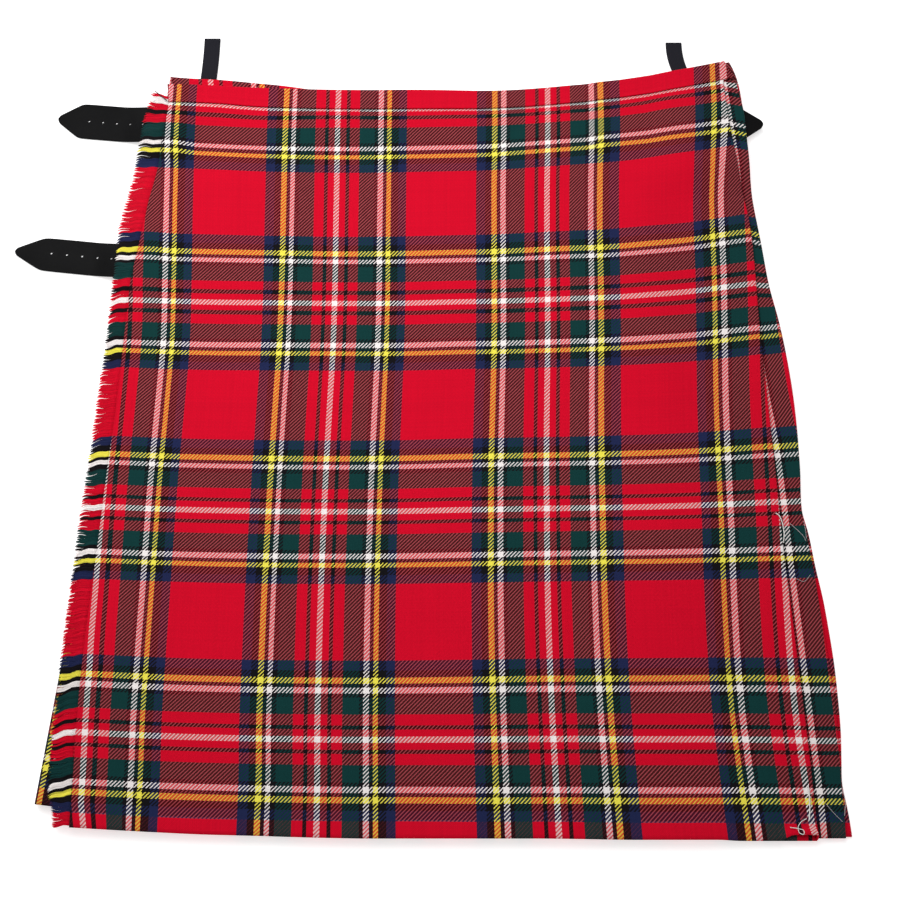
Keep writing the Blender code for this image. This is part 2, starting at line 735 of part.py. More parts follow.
# --- the kilt -----------------------------------------------------------------------------
def stand_on_origin():
    """Move every point so that the kilt's box stands on the origin, centred."""
    meshes = {thing.data for thing in bpy.data.objects if thing.type == "MESH"}
    shown = [thing.data for thing in bpy.data.objects if not thing.hide_render]
    corners = np.array([vertex.co[:] for mesh in shown for vertex in mesh.vertices])
    low, high = corners.min(0), corners.max(0)
    shift = -(low + high) / 2
    shift[2] = -low[2]
    for mesh in meshes:
        for vertex in mesh.vertices:
            vertex.co = np.array(vertex.co[:]) + shift


def main():
    clear_scene()
    edge_rows = [row[0] for row in RIGHT_EDGE[:-1]]
    wall_piece("over_apron", cloth_rows(OVER_ROWS, over_apron_section), "red_tartan")
    wall_piece("apron_pleat", cloth_rows([1.0] + edge_rows[1:], apron_pleat_section), "red_tartan")
    wall_piece("hip_fold", cloth_rows([2.0] + edge_rows[1:-1] + [SEAM - 3], hip_fold_section),
               "red_tartan")
    wall_piece("back_pleats", cloth_rows(PLEAT_ROWS, pleats_section, back_level), "red_tartan")
    wall_piece("under_apron", cloth_rows(UNDER_ROWS, under_apron_section, back_level),
               "red_tartan")
    make_waistbands()
    make_fringe()
    for name, strap in STRAPS.items():
        make_strap(name, strap, lambda x, strap=strap: strap_height(strap, x), -1)
    make_strap("strap_under_apron", SIDE_STRAP, side_strap_height, 1)
    make_loop("hanger_loop_left", -206.8, 335.0, 376.6, -1.2, 3.0)
    make_loop("hanger_loop_right", 194.5, 339.0, 372.6, 6.0, 3.0)
    for name, place in BUCKLES.items():
        make_buckle(name, *place)
    stand_on_origin()


main()
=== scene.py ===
"""A Scottish kilt laid flat with its front apron up: cloth, fringe, straps, loops and buckles.

Lengths are millimetres in the kilt's own layout, and turned into the frame's metres at the end:
X across the kilt, Y from the hem to the waist, Z up.  A place on the kilt is given by x and its
level, the distance up the cloth from the hem.  A cloth piece is a grid of centre points with half
its thickness on each side, and its UV map "cloth" is each point's place in the tartan, in metres.
"""
import math
from collections import namedtuple

import bpy
import numpy as np
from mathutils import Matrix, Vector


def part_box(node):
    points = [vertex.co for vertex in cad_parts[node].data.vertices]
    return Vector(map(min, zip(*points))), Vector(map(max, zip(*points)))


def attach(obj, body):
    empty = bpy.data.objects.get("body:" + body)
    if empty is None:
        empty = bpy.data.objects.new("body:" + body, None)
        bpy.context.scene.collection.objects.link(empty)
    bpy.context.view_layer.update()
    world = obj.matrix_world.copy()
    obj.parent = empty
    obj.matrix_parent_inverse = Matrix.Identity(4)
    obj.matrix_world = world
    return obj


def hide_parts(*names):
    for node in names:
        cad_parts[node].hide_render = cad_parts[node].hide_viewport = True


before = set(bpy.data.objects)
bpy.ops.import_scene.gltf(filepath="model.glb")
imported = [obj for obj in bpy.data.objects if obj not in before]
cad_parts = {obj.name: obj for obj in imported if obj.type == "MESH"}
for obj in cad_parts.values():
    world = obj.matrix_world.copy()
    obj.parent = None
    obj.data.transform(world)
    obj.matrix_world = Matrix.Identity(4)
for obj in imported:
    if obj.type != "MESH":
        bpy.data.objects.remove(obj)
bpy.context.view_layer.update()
scene = bpy.context.scene

MM = 0.001
# --- sizes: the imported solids', but for edges and a tape that lie up to 2 mm further out ---
WALL = 1.2  # thickness of one layer in the solids
GAP = 0.3  # air between two pieces
PITCH = WALL + GAP  # centre to centre of two layers
ROOM = 0.25  # more air between the aprons
FLOOR_LAYER = WALL / 2
DROP = 611.0  # hem to top
BAND = 17.0
SEAM = DROP - BAND
BACK_DROP = DROP - 3  # the back and the under apron end a little lower
BACK_SEAM = SEAM - 3
HEM_Y = -292.5
SHEET = 1.06  # thickness of one layer of twill as it shows
RIM = 0.3  # share of it by which its faces stop short of its rim

# level, weave edge of the over apron, fold of the over apron
APRON_SIDES = (
    (0, -276.0, 267.6), (70, -276.6, 265.0), (140, -275.0, 261.2), (213, -270.7, 257.0),
    (270, -267.7, 255.2), (330, -263.9, 252.8), (396, -261.4, 250.6), (430, -259.6, 250.3),
    (470, -253.8, 248.2), (500, -250.4, 243.3), (531, -245.0, 238.6), (564, -241.8, 234.8),
    (594, -238.7, 233.4), (611, -240.8, 236.0),
)
# level, outermost edge at the right, how far it stands out past the apron pleat
RIGHT_EDGE = (
    (0, 292.2, 3.8), (27, 291.1, 2.7), (38, 289.6, 1.5), (55, 290.4, 1.9), (75, 291.6, 3.2),
    (100, 291.6, 3.6), (127, 290.6, 5.0), (150, 288.6, 4.9), (170, 286.4, 4.5), (193, 282.6, 2.8),
    (221, 278.6, 2.4), (236, 275.3, 0.8), (268, 276.3, 0.8), (327, 275.2, 1.0), (355, 272.6, 1.2),
    (385, 268.4, 1.6), (414, 262.7, 1.0), (451, 258.2, 0.7), (488, 253.7, 0.7), (530, 251.3, 0.7),
    (568, 249.8, 0.7), (584, 248.4, 0.7), (594, 247.0, 0.7), (611, 239.5, 0.7),
)
# x at the hem and at the top
BACK_LEFT = (-304.5, -239.4)
PLEATS_RIGHT = (238.0, 196.0)
PLEATS_LEFT = (-246.5, -181.0)
UNDER_APRON_RIGHT = (168.0, 150.0)
UNDER_STRIPE = (-170.0, -205.0)  # a white stripe on the under apron's band

PLEATS = 22
PLEAT_DEPTH = 36.0
PLEAT_DEPTH_TOP = 4.0
CUT_AWAY = (480.0, 590.0)  # levels between which the pleats get shallow
FLAT_SHARE = 0.72  # of a pleat's face, before it steps up over the next one
LAST_PLEAT_DEPTH = 10.0
LAST_PLEAT_STEP = 16.0
LAST_GAP = 6.0  # from the last pleat to where the hip strip starts

HIP_LIFT = 4.3  # how far the layers lie over the table where the buckles are
LEFT_LIFTED = (372.0, 412.0)  # levels between which it begins at the left
RIGHT_LIFTED = (486.0, 526.0)  # and at the right
TURN_UNDER = 30.0
STRAP_ROOM = 2.6
UNDER_EDGE = (36.0, 84.0)  # from the left edge, where the under apron leaves its lift
FOLD_SLOPE = (92.0, 38.0)  # from the fold, where the over apron comes up to its height
OVER_BAND_LIFT = (556.0, 590.0)  # levels between which the bands' layers lift an apron
UNDER_BAND_LIFT = (560.0, 590.0)

# level, length of the freed weft yarns, rise for each mm of length
FREED_YARNS = (
    (0, 12.8, -0.16), (10, 13.6, -0.05), (19, 14.6, -0.07), (27, 16.9, -0.29), (35, 17.5, -0.25),
    (48, 17.8, -0.2), (60, 17.9, -0.2), (80, 17.8, -0.28), (113, 17.2, -0.26), (150, 17.4, -0.16),
    (200, 17.8, -0.05), (240, 17.9, -0.05), (285, 16.9, -0.14), (340, 17.1, -0.08),
    (380, 15.9, -0.1), (412, 15.8, -0.1), (440, 16.2, -0.03), (460, 19.0, 0.0), (480, 21.4, 0.02),
    (500, 20.6, 0.04), (540, 20.9, 0.1), (560, 20.0, 0.08), (580, 20.2, 0.14), (594, 16.5, 0.36),
)
FRINGE_TOP = 598.5
LEFT_RISE = 6.0  # how much higher than its level the cloth at the left edge lies

STRAP_THICK = 2.2
STRAP_OVER = WALL / 2 + 2 * GAP + STRAP_THICK / 2  # from a sheet's centre to a strap's on it
STRAP_FALL = 38.0
STRAP_SLIP = 0.3  # how far a strap lies lower on the kilt where it rises, for each mm
HOLES = 5
HOLE_RADIUS = 1.1
PUNCH_SIDES = 28
STRAP_SHOULDER = 1.6  # how round the point's taper meets the full width
LEATHER_REST = 0.25
Strap = namedtuple("Strap", "tip_x tip_y root_x slope width point first_hole hole_pitch hole_rise")
STRAPS = {
    "strap_waist": Strap(-334.5, 297.5, -236.0, -0.090, 32.8, 20.5, 26.5, 11.8, 0.3),
    "strap_hip": Strap(-360.2, 174.5, -250.0, -0.105, 29.6, 24.5, 30.2, 12.8, 1.3),
}
SIDE_STRAP = Strap(265.4, 290.8, 136.0, 0.0, 31.6, 20.5, 26.5, 12.2, 0.0)
SIDE_STRAP_LEVEL = 556.0
SIDE_STRAP_FALL = (162.0, 214.0)  # x between which it comes down to the folds
# x, foot y, top y, lean of the foot
TAPE_LOOPS = {
    "left": (-206.8, 335.0, 376.6, -1.2),
    "right": (194.5, 339.0, 372.6, 6.0),
}
TAPE_WIDTH = 13.8
TAPE_THICK = 0.8
BUCKLE_LENGTH = 22.0
BUCKLE_WIDTH = 39.0
BUCKLE_WIRE = 2.0
BUCKLE_CORNER = 5.0
BUCKLE_FLAT = 0.75  # height of the wire for each mm of its width
BUCKLE_CENTRE = 2.15
BAR_PLAY = 0.2
PRONG_THICK = 0.8
PRONG_WIDTH = 3.0
TAB_WIDTH = 27.0
TAB_LENGTH = 12.0
TAB_WALL = 0.8
# outer end of the frame x, centre y, direction from the frame to its tab
BUCKLES = {
    "waist": (-240.3, 286.0, 1),
    "hip": (-253.0, 171.0, 1),
    "under_apron": (249.0, 290.0, -1),
}

# --- the tartan ---
HALF_SETT = 87.0
THREAD = 0.74  # from one yarn to the next
DARK_STAIN = 0.8  # how much a dark yarn takes of a red one under it
SELVEDGE = -57.5  # weft place below which the warp covers more
SELVEDGE_COVER = 0.45  # how much more of it shows there, in yarns
SELVEDGE_CLEAN = 0.75  # and how much less red it takes
RED_WARMED = 0.09  # how much a red yarn takes of a pale one under it
RED_PAINTED_SHEEN = 0.36  # how much painted sheen pales a red yarn between dark ones
STEPPED = 0.55  # how far a diagonal's edge follows the yarns' own edges
HIDE_PALER = 0.4  # how much less of a paler yarn shows beside a darker one
PALE_BLEED = 0.37  # how much a pale yarn takes of a red one under it
STAIN_SHADE = (97, 82, 96)  # what darkens the red that a dark yarn takes
PAINTED_SHEEN_TINT = (136, 124, 128)  # painted sheen: the grey that pales a red yarn between dark ones
COLOURS = {
    "white": (252, 244, 242),
    "red": (217, 5, 40),
    "black": (18, 17, 21),
    "green": (13, 58, 57),
    "yellow": (248, 236, 84),
    "blue": (32, 40, 79),
}
# distance from the middle of the white pivot at which each stripe starts
SETT = (
    (0.0, "white"), (2.1, "red"), (7.0, "black"), (10.2, "red"), (18.2, "green"), (31.0, "black"),
    (34.1, "white"), (38.1, "black"), (41.4, "yellow"), (45.3, "black"), (50.9, "blue"),
    (58.0, "red"),
)
# places of the front apron's yellow warp stripes, between the white pivots on its two sides
WARP_LINES = (-348.0, -304.65, -217.35, -130.65, -43.35, 43.35, 130.65, 174.0)
# level, x of the six yellow warp stripes
WARP_RUNS = (
    (0, -226.4, -139.7, -53.9, 34.9, 123.0, 216.8),
    (40, -226.7, -139.7, -54.6, 33.8, 121.0, 213.2),
    (80, -227.7, -140.9, -55.3, 32.7, 119.1, 210.1),
    (130, -227.4, -141.1, -55.6, 31.7, 117.6, 208.5),
    (180, -226.8, -140.9, -55.6, 31.4, 117.0, 208.8),
    (230, -226.5, -140.2, -55.0, 31.8, 117.5, 210.0),
    (280, -225.7, -139.3, -54.1, 32.5, 118.1, 210.5),
    (330, -224.2, -137.9, -52.5, 34.1, 119.3, 211.7),
    (380, -223.1, -136.5, -51.0, 35.7, 121.0, 214.1),
    (430, -224.8, -136.4, -50.6, 36.3, 122.2, 216.3),
    (480, -227.0, -137.1, -50.9, 36.6, 123.0, 217.4),
    (520, -228.8, -137.9, -51.0, 37.0, 124.6, 219.2),
    (560, -230.6, -138.9, -51.3, 38.0, 126.9, 222.5),
    (611, -230.4, -138.8, -51.4, 38.6, 127.9, 224.3),
)
LEFT_PIVOT_GAP = 43.0  # from the first yellow stripe to the white pivot on its left
RIGHT_PIVOT_GAP = 47.6  # and from the last one to the white pivot on its right
# places of the yellow weft stripes, and of a black stripe and the white pivot at the waist seam
WEFT_LINES = (-43.35, 43.35, 130.65, 217.35, 304.65, 391.35, 478.65, 513.4, 522.0)
# x, level of each of those stripes
WEFT_RUNS = (
    (-265, 25.7, 113.0, 201.0, 286.2, 372.7, 458.8, 549.4, 583.9, 593.2),
    (-220, 25.7, 112.2, 200.2, 285.0, 371.9, 459.1, 549.5, 584.0, 593.2),
    (-160, 26.2, 112.1, 199.9, 284.4, 371.8, 458.8, 548.6, 583.6, 593.0),
    (-100, 26.8, 112.5, 200.3, 284.6, 372.4, 458.7, 548.9, 586.0, 593.3),
    (-40, 27.1, 112.8, 200.7, 285.0, 372.4, 459.3, 550.1, 585.5, 593.4),
    (20, 26.8, 113.4, 201.5, 286.4, 373.7, 460.7, 551.5, 586.5, 593.5),
    (80, 26.9, 114.0, 202.0, 286.7, 373.8, 461.1, 552.9, 586.5, 593.3),
    (130, 26.6, 113.9, 201.7, 285.7, 372.4, 459.1, 551.9, 585.8, 592.8),
    (170, 26.6, 113.8, 201.1, 284.9, 371.6, 458.7, 550.4, 585.9, 592.8),
    (210, 26.7, 113.9, 201.1, 285.3, 372.5, 460.1, 548.3, 584.0, 592.1),
    (270, 26.3, 112.8, 200.7, 285.5, 373.4, 460.5, 547.3, 582.0, 590.6),
)


# --- curves and tables ---
def steps(count, start=0.0, end=1.0):
    """A row of even values."""
    return np.linspace(start, end, count)[None]


def smooth(start, end, value):
    """0 before start, 1 after end, and share^2 (3 - 2 share) between them."""
    share = np.clip((np.asarray(value, float) - start) / (end - start), 0.0, 1.0)
    return share * share * (3 - 2 * share)


def column(table, index, level):
    """One column of a table at a level: a cubic through the rows with their mean slopes."""
    rows = np.array(table, float)
    stations, values = rows[:, 0], rows[:, index]
    slopes = np.gradient(values, stations)
    level = np.clip(np.asarray(level, float), stations[0], stations[-1])
    row = np.clip(np.searchsorted(stations, level, side="right") - 1, 0, len(stations) - 2)
    span = stations[row + 1] - stations[row]
    share = (level - stations[row]) / span
    keep, reach = smooth(0, 1, 1 - share), smooth(0, 1, share)
    lead = share * (1 - share) ** 2 * span * slopes[row]
    trail = share ** 2 * (share - 1) * span * slopes[row + 1]
    return keep * values[row] + reach * values[row + 1] + lead + trail


def between(ends, level):
    """A value that runs straight from the hem's to the top's."""
    return ends[0] + (ends[1] - ends[0]) * np.asarray(level, float) / DROP


def left_of_middle(x):
    """How far a place lies past the flat middle, on its left."""
    return np.clip(-np.asarray(x, float) - 60, 0, None)


def y_of(x, level):
    """Height of a row of the cloth in the layout: it rises towards both sides of the waist.

    The right rises by a power of how far right of 20 mm it is, from level 70 up.  The left
    rises by the reach to the power 1.5, more at the hem and at the top than halfway.
    """
    x, level = np.asarray(x, float), np.asarray(level, float)
    high = np.clip((level - 70) / 522, 0, None) ** 1.2
    right = 25 * high * (np.clip(x - 20, 0, None) / 202) ** 1.7
    left = (2.5 + 5 * (2 * level / DROP - 1) ** 2) * (left_of_middle(x) / 200) ** 1.5
    return HEM_Y + level + right + left


def back_rise(x, level):
    """How much higher the left side of the back and of the under apron lies."""
    return 12 * (left_of_middle(x) / between((242.0, 180.0), level)) ** 1.3


def back_level(x, level):
    """Level of a row of the back's and the under apron's bands, whose top edge runs straight."""
    straight = 5.8 * np.sin(np.pi * smooth(-250, -52, x)) * smooth(BACK_SEAM, BACK_DROP, level)
    return level + back_rise(x, level) + straight


def weave_edge(level):
    return column(APRON_SIDES, 1, level)


def apron_fold(level):
    return column(APRON_SIDES, 2, level)


def outer_fold(level):
    return column(RIGHT_EDGE, 1, level)


def pleat_fold(level):
    return outer_fold(level) - column(RIGHT_EDGE, 2, level)


def back_left(level):
    return between(BACK_LEFT, level)


# --- heights of the layers ---
def pleat_reveal(level):
    return (between(PLEATS_RIGHT, level) - between(PLEATS_LEFT, level)) / PLEATS


def pleat_depth(level):
    return PLEAT_DEPTH + (PLEAT_DEPTH_TOP - PLEAT_DEPTH) * smooth(*CUT_AWAY, level)


def stack_top(level):
    """Top of the pleats: each hidden run climbs two layers for each pleat that it passes."""
    return WALL + 2 * PITCH * (1 + pleat_depth(level) / pleat_reveal(level))


def left_lift(level):
    return HIP_LIFT * smooth(*LEFT_LIFTED, level)


def right_lift(level):
    return HIP_LIFT * smooth(*RIGHT_LIFTED, level)


def under_height(x, level):
    """Centre of the under apron: on the pleats, and at the left on the lifted hip strip."""
    base = stack_top(level) + GAP + WALL / 2
    need = FLOOR_LAYER + left_lift(level) + PITCH + 2 * PITCH * smooth(*UNDER_BAND_LIFT, level)
    inward = x - back_left(level)
    return base + (1 - smooth(*UNDER_EDGE, inward)) * np.clip(need - base, 0, None)


def over_edge_height(level):
    """Centre of the over apron at its fold, on five layers and the side strap."""
    strap_room = STRAP_ROOM * smooth(490, 526, level) * (1 - smooth(584, 597, level))
    return FLOOR_LAYER + 5 * PITCH + right_lift(level) + strap_room


def strap_axis_y(strap, x):
    return strap.tip_y + strap.slope * (x - strap.tip_x)


def strap_sag(strap, x, height):
    """A strap's middle line: its rising end slips a little down the kilt."""
    return strap_axis_y(strap, x) - STRAP_SLIP * (height(x) - STRAP_THICK / 2 - LEATHER_REST)


def left_strap_height(strap, x):
    """Centre of a left strap: on the under apron, then down to the table past its edge."""
    level = strap.tip_y - HEM_Y - LEFT_RISE
    edge = back_left(level) - 2
    root = under_height(strap.root_x, level) + STRAP_OVER
    rest = STRAP_THICK / 2 + LEATHER_REST
    return root + (rest - root) * smooth(edge, edge - STRAP_FALL, x)


def side_strap_height(x):
    """Centre of the side strap: on the under apron, then out between the folds."""
    root = under_height(SIDE_STRAP.root_x + 4, SIDE_STRAP_LEVEL) + STRAP_OVER
    out = FLOOR_LAYER + right_lift(SIDE_STRAP_LEVEL) + PITCH + STRAP_OVER - GAP
    return root + (out - root) * smooth(*SIDE_STRAP_FALL, x)


def strap_bump(x, level, strap, height, side, base):
    """How far a strap that is sewn below lifts a layer of the given height."""
    need = height + STRAP_THICK / 2 + GAP + WALL / 2 + 0.1
    across = np.abs(y_of(x, level) - strap_axis_y(strap, x))
    cover = smooth(strap.width / 2 + 24, strap.width / 2 + 10, across)
    return np.clip(need - base, 0, None) * cover * smooth(-24, -4, (x - strap.root_x) * side)


def over_height(x, level):
    """Centre of the over apron: on the layers below, lifted by the straps and the side folds."""
    flat = under_height(x, level - back_rise(x, level)) + PITCH + ROOM
    flat = flat + (PITCH + GAP) * smooth(*OVER_BAND_LIFT, level)
    ripple = 0.45 * (1 + np.sin(x / 41 + level / 160)) * np.sin(np.pi * level / DROP) ** 2
    flat = flat + ripple * (1 - smooth(470, 560, level))
    near_fold = smooth(*(apron_fold(level) - start for start in FOLD_SLOPE), x)
    base = flat + near_fold * (over_edge_height(level) - flat)
    for strap in STRAPS.values():
        base = base + strap_bump(x, level, strap, left_strap_height(strap, x), -1, base)
    return base + strap_bump(x, level, SIDE_STRAP, side_strap_height(x), 1, base)


# x, level, heading in degrees, half length, half width, height: soft ridges that fade out
APRON_CREASES = (
    (-150, 330, 84, 190, 26, 0.9), (-205, 210, 78, 120, 18, 0.6), (30, 250, 96, 210, 34, 0.8),
    (120, 380, 101, 120, 20, 0.6), (205, 240, 86, 190, 15, 0.9), (236, 120, 88, 90, 11, 0.7),
    (-20, 90, 12, 150, 14, 0.5), (160, 60, 4, 90, 11, 0.5), (-180, 480, 100, 70, 16, 0.5),
)


def creases(table, x, level):
    """Sum of soft ridges: each is exp(-(across/width)^2) exp(-(along/length)^4) high."""
    total = 0.0 * x * level
    for start_x, start_level, heading, length, width, height in table:
        turn = math.radians(heading)
        along = (x - start_x) * math.cos(turn) + (level - start_level) * math.sin(turn)
        across = (level - start_level) * math.cos(turn) - (x - start_x) * math.sin(turn)
        total = total + height * np.exp(-(across / width) ** 2 - (along / length) ** 4)
    return total


# --- where the cloth lies in the tartan ---
def place_between(value, lines, runs):
    """Place in the tartan: straight between the lines that run near, and at true size past them."""
    place = lines[0] + value - runs[0]
    for number in range(len(lines) - 1):
        span = (lines[number + 1] - lines[number]) / (runs[number + 1] - runs[number])
        here = lines[number] + (value - runs[number]) * span
        place = np.where(value > runs[number], here, place)
    return np.where(value > runs[-1], lines[-1] + value - runs[-1], place)


def warp_place(x, level):
    """Place of a warp yarn of the front apron."""
    runs = [column(WARP_RUNS, number, level) for number in range(1, 7)]
    left_gap = LEFT_PIVOT_GAP - 0.8 * smooth(150, 110, level) - 3.2 * np.clip(1 - level / 18, 0, 1)
    right_gap = RIGHT_PIVOT_GAP + 10 * smooth(500, 560, level)
    return place_between(x, WARP_LINES, [runs[0] - left_gap, *runs, runs[5] + right_gap])


def weft_place(x, level):
    """Place of a weft yarn."""
    return place_between(level, WEFT_LINES,
                         [column(WEFT_RUNS, number, x) for number in range(1, 10)])


# --- meshes ---
# from the layout to the frame: the hip strap's tip and the left loop's top lie on their solids'
SHIFT = np.array([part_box("strap_hip")[0][0] / MM - STRAPS["strap_hip"].tip_x,
                  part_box("hanger_loop_left")[1][1] / MM - TAPE_LOOPS["left"][2], 0.0])


def unit(vectors):
    return vectors / np.maximum(np.linalg.norm(vectors, axis=-1, keepdims=True), 1e-12)


def make_piece(name, points, faces, material, places=None):
    """A mesh from points in layout millimetres; places are the points' UVs in millimetres."""
    mesh = bpy.data.meshes.new(name)
    mesh.from_pydata(((np.asarray(points, float) + SHIFT) * MM).tolist(), [], faces)
    mesh.shade_smooth()
    if places is not None:
        layer = mesh.uv_layers.new(name="cloth")
        corner = np.empty(len(mesh.loops), np.int32)
        mesh.loops.foreach_get("vertex_index", corner)
        layer.data.foreach_set("uv", (np.asarray(places)[corner] * MM).astype(np.float32).ravel())
    mesh.materials.append(material)
    piece = bpy.data.objects.new(name, mesh)
    scene.collection.objects.link(piece)
    return piece


def shell(name, centre, places, material, thickness=SHEET):
    """A closed sheet round a grid: centre +- normal * thickness / 2, its rim a blunt half round.

    The normal is the cross product of the directions along the columns and the rows, and the
    rim's middle ring stands at the grid's border while both faces start RIM of it inside.
    """
    across, up = np.gradient(centre, axis=1), np.gradient(centre, axis=0)
    offset = unit(np.cross(across, up)) * thickness / 2
    body = centre.copy()
    inset = RIM * thickness
    body[:, 0] += unit(across[:, 0]) * inset
    body[:, -1] -= unit(across[:, -1]) * inset
    body[0] += unit(up[0]) * inset
    body[-1] -= unit(up[-1]) * inset
    count = centre[..., 0].size
    top, under = np.arange(2 * count).reshape(2, *centre.shape[:2])

    def quads(side):
        corners = [side[:-1, :-1], side[:-1, 1:], side[1:, 1:], side[1:, :-1]]
        return np.stack(corners, -1).reshape(-1, 4)

    def border(side):
        return np.concatenate([side[0, :-1], side[:-1, -1], side[-1, :0:-1], side[:0:-1, 0]])

    def rim_band(first, second):
        return np.stack([first, np.roll(first, -1), np.roll(second, -1), second], -1)

    high, low = border(top), border(under)
    middle = 2 * count + np.arange(len(high))
    faces = np.concatenate([quads(top), quads(under)[:, ::-1],
                            rim_band(middle, high), rim_band(low, middle)])
    flat, flat_places = centre.reshape(-1, 3), places.reshape(-1, 2)
    points = np.concatenate([(body + offset).reshape(-1, 3), (body - offset).reshape(-1, 3),
                             flat[high]])
    all_places = np.concatenate([flat_places, flat_places, flat_places[high]])
    return make_piece(name, points, faces.tolist(), material, all_places)


def turned(start, fold, end, high, low, counts):
    """x and z of cloth that runs right at one height, round a half circle, and back left."""
    half = (high - low) / 2
    bend = fold - WALL / 2 - half
    turn = steps(counts[1] + 2, 0, np.pi)[:, 1:-1]
    out = start + (bend - start) * steps(counts[0])
    back = bend + (end - bend) * steps(counts[2])
    x = np.concatenate([out, bend + half * np.sin(turn), back], 1)
    z = np.concatenate([high + 0 * out, low + half * (1 + np.cos(turn)), low + 0 * back], 1)
    return x, z


def run_length(x, z):
    """Length along each row's section from its first point."""
    spans = np.hypot(np.diff(x, axis=1), np.diff(z, axis=1))
    return np.concatenate([np.zeros((len(x), 1)), np.cumsum(spans, 1)], 1)


def chord_of(path):
    """Length along a path of points."""
    spans = np.linalg.norm(np.diff(path, axis=0), axis=1)
    return np.concatenate([[0], np.cumsum(spans)])


def carry_on(u, x, z, join, part):
    """Over a part of the columns, the place in the tartan follows the cloth from column join."""
    length = run_length(x, z)
    u[:, part] = (u[:, join:join + 1] + length - length[:, join:join + 1])[:, part]
    return u


def cloth_grid(x, level, z, rise=0.0):
    """Centre points of a section grid whose rows lie at the given levels."""
    level = level + 0 * x
    return np.stack([x, y_of(x, level + rise), z], -1)


def pair(across, up):
    return np.stack(np.broadcast_arrays(across, up), -1)


def cloth_piece(name, x, level, z, u, v, rise=0.0):
    return shell(name, cloth_grid(x, level, z, rise), pair(u, v), TARTAN)


# --- materials ---
class Value:
    """A socket in a material's graph: Python's operators on it add Math nodes."""

    def __init__(self, graph, socket):
        self.graph, self.socket = graph, socket

    def math(self, operation, *terms):
        return self.graph.node("ShaderNodeMath", {"operation": operation}, [self, *terms])

    def out(self, name):
        """Another output of the node that this socket belongs to."""
        return Value(self.graph, self.socket.node.outputs[name])

    def share(self):
        """The value, kept between 0 and 1."""
        return self.math("MINIMUM", 1.0).math("MAXIMUM", 0.0)

    def __add__(self, other):
        return self.math("ADD", other)

    def __sub__(self, other):
        return self.math("SUBTRACT", other)

    def __rsub__(self, other):
        return self.graph.node("ShaderNodeMath", {"operation": "SUBTRACT"}, [other, self])

    def __mul__(self, other):
        return self.math("MULTIPLY", other)

    def __truediv__(self, other):
        return self.math("DIVIDE", other)

    def __mod__(self, other):
        return self.math("FLOORED_MODULO", other)

    def __lt__(self, other):
        return self.math("LESS_THAN", other)

    __radd__ = __add__
    __rmul__ = __mul__


def linear(colour):
    """Linear colour with alpha from screen values of 0 to 255."""
    share = np.array(colour, float) / 255
    light = np.where(share <= 0.04045, share / 12.92, ((share + 0.055) / 1.055) ** 2.4)
    return (*light.tolist(), 1.0)


class Graph:
    """A material under construction."""

    def __init__(self, name):
        self.material = bpy.data.materials.new(name)
        self.material.use_nodes = True
        self.tree = self.material.node_tree
        self.tree.nodes.clear()

    def node(self, kind, settings=None, inputs=(), output=0):
        """Add a node: settings first, then values or links of its sockets by place or name."""
        node = self.tree.nodes.new(kind)
        for key, value in (settings or {}).items():
            if key == "stops":
                self.set_stops(node.color_ramp, value)
            else:
                setattr(node, key, value)
        pairs = inputs.items() if isinstance(inputs, dict) else enumerate(inputs)
        for key, value in pairs:
            if isinstance(value, Value):
                self.tree.links.new(value.socket, node.inputs[key])
            else:
                node.inputs[key].default_value = value
        return Value(self, node.outputs[output])

    def set_stops(self, ramp, stops):
        """Sharp steps of colour: (place, colour name) in order."""
        ramp.interpolation = "CONSTANT"
        for place, name in stops[2:]:
            ramp.elements.new(place)
        for element, (place, name) in zip(ramp.elements, stops):
            element.position = place
            element.color = linear(COLOURS[name])

    def cloth_place(self, wide, high):
        """Place in the piece's UV map, counted in steps of the given millimetres."""
        uv = self.node("ShaderNodeUVMap", {"uv_map": "cloth"})
        cloth = self.node("ShaderNodeSeparateXYZ", {}, [uv])
        return cloth / (wide * MM), cloth.out("Y") / (high * MM)

    def sett_colour(self, yarn):
        """Colour of a numbered yarn: the sett turns back at both of its pivots."""
        half = HALF_SETT / THREAD
        stops = [(start / HALF_SETT, name) for start, name in SETT]
        place = (yarn + 0.5).math("PINGPONG", half) / half
        return self.node("ShaderNodeValToRGB", {"stops": stops}, [place])

    def random(self, number):
        return self.node("ShaderNodeTexWhiteNoise", {"noise_dimensions": "1D"}, {"W": number})

    def mix(self, share, first, second, kind="MIX"):
        """Mix two colours."""
        return self.node("ShaderNodeMix", {"data_type": "RGBA", "blend_type": kind},
                         {0: share, 6: first, 7: second}, 2)

    def shaded(self, colour, shade):
        """A colour times a value."""
        return self.mix(1.0, colour, shade, "MULTIPLY")

    def spot(self):
        return self.node("ShaderNodeTexCoord", {}, (), "Object")

    def noise(self, scale, detail=2.0, roughness=0.6):
        return self.node("ShaderNodeTexNoise", {"noise_dimensions": "3D"},
                         {"Vector": self.spot(), "Scale": scale, "Detail": detail,
                          "Roughness": roughness})

    def bump(self, height, distance):
        return self.node("ShaderNodeBump", {}, {"Height": height, "Distance": distance})

    def done(self, **inputs):
        """The shader on the material's output; inputs are its sockets with _ for a space."""
        named = {key.replace("_", " "): value for key, value in inputs.items()}
        shader = self.node("ShaderNodeBsdfPrincipled", {}, named)
        output = self.tree.nodes.new("ShaderNodeOutputMaterial")
        self.tree.links.new(shader.socket, output.inputs["Surface"])
        return self.material


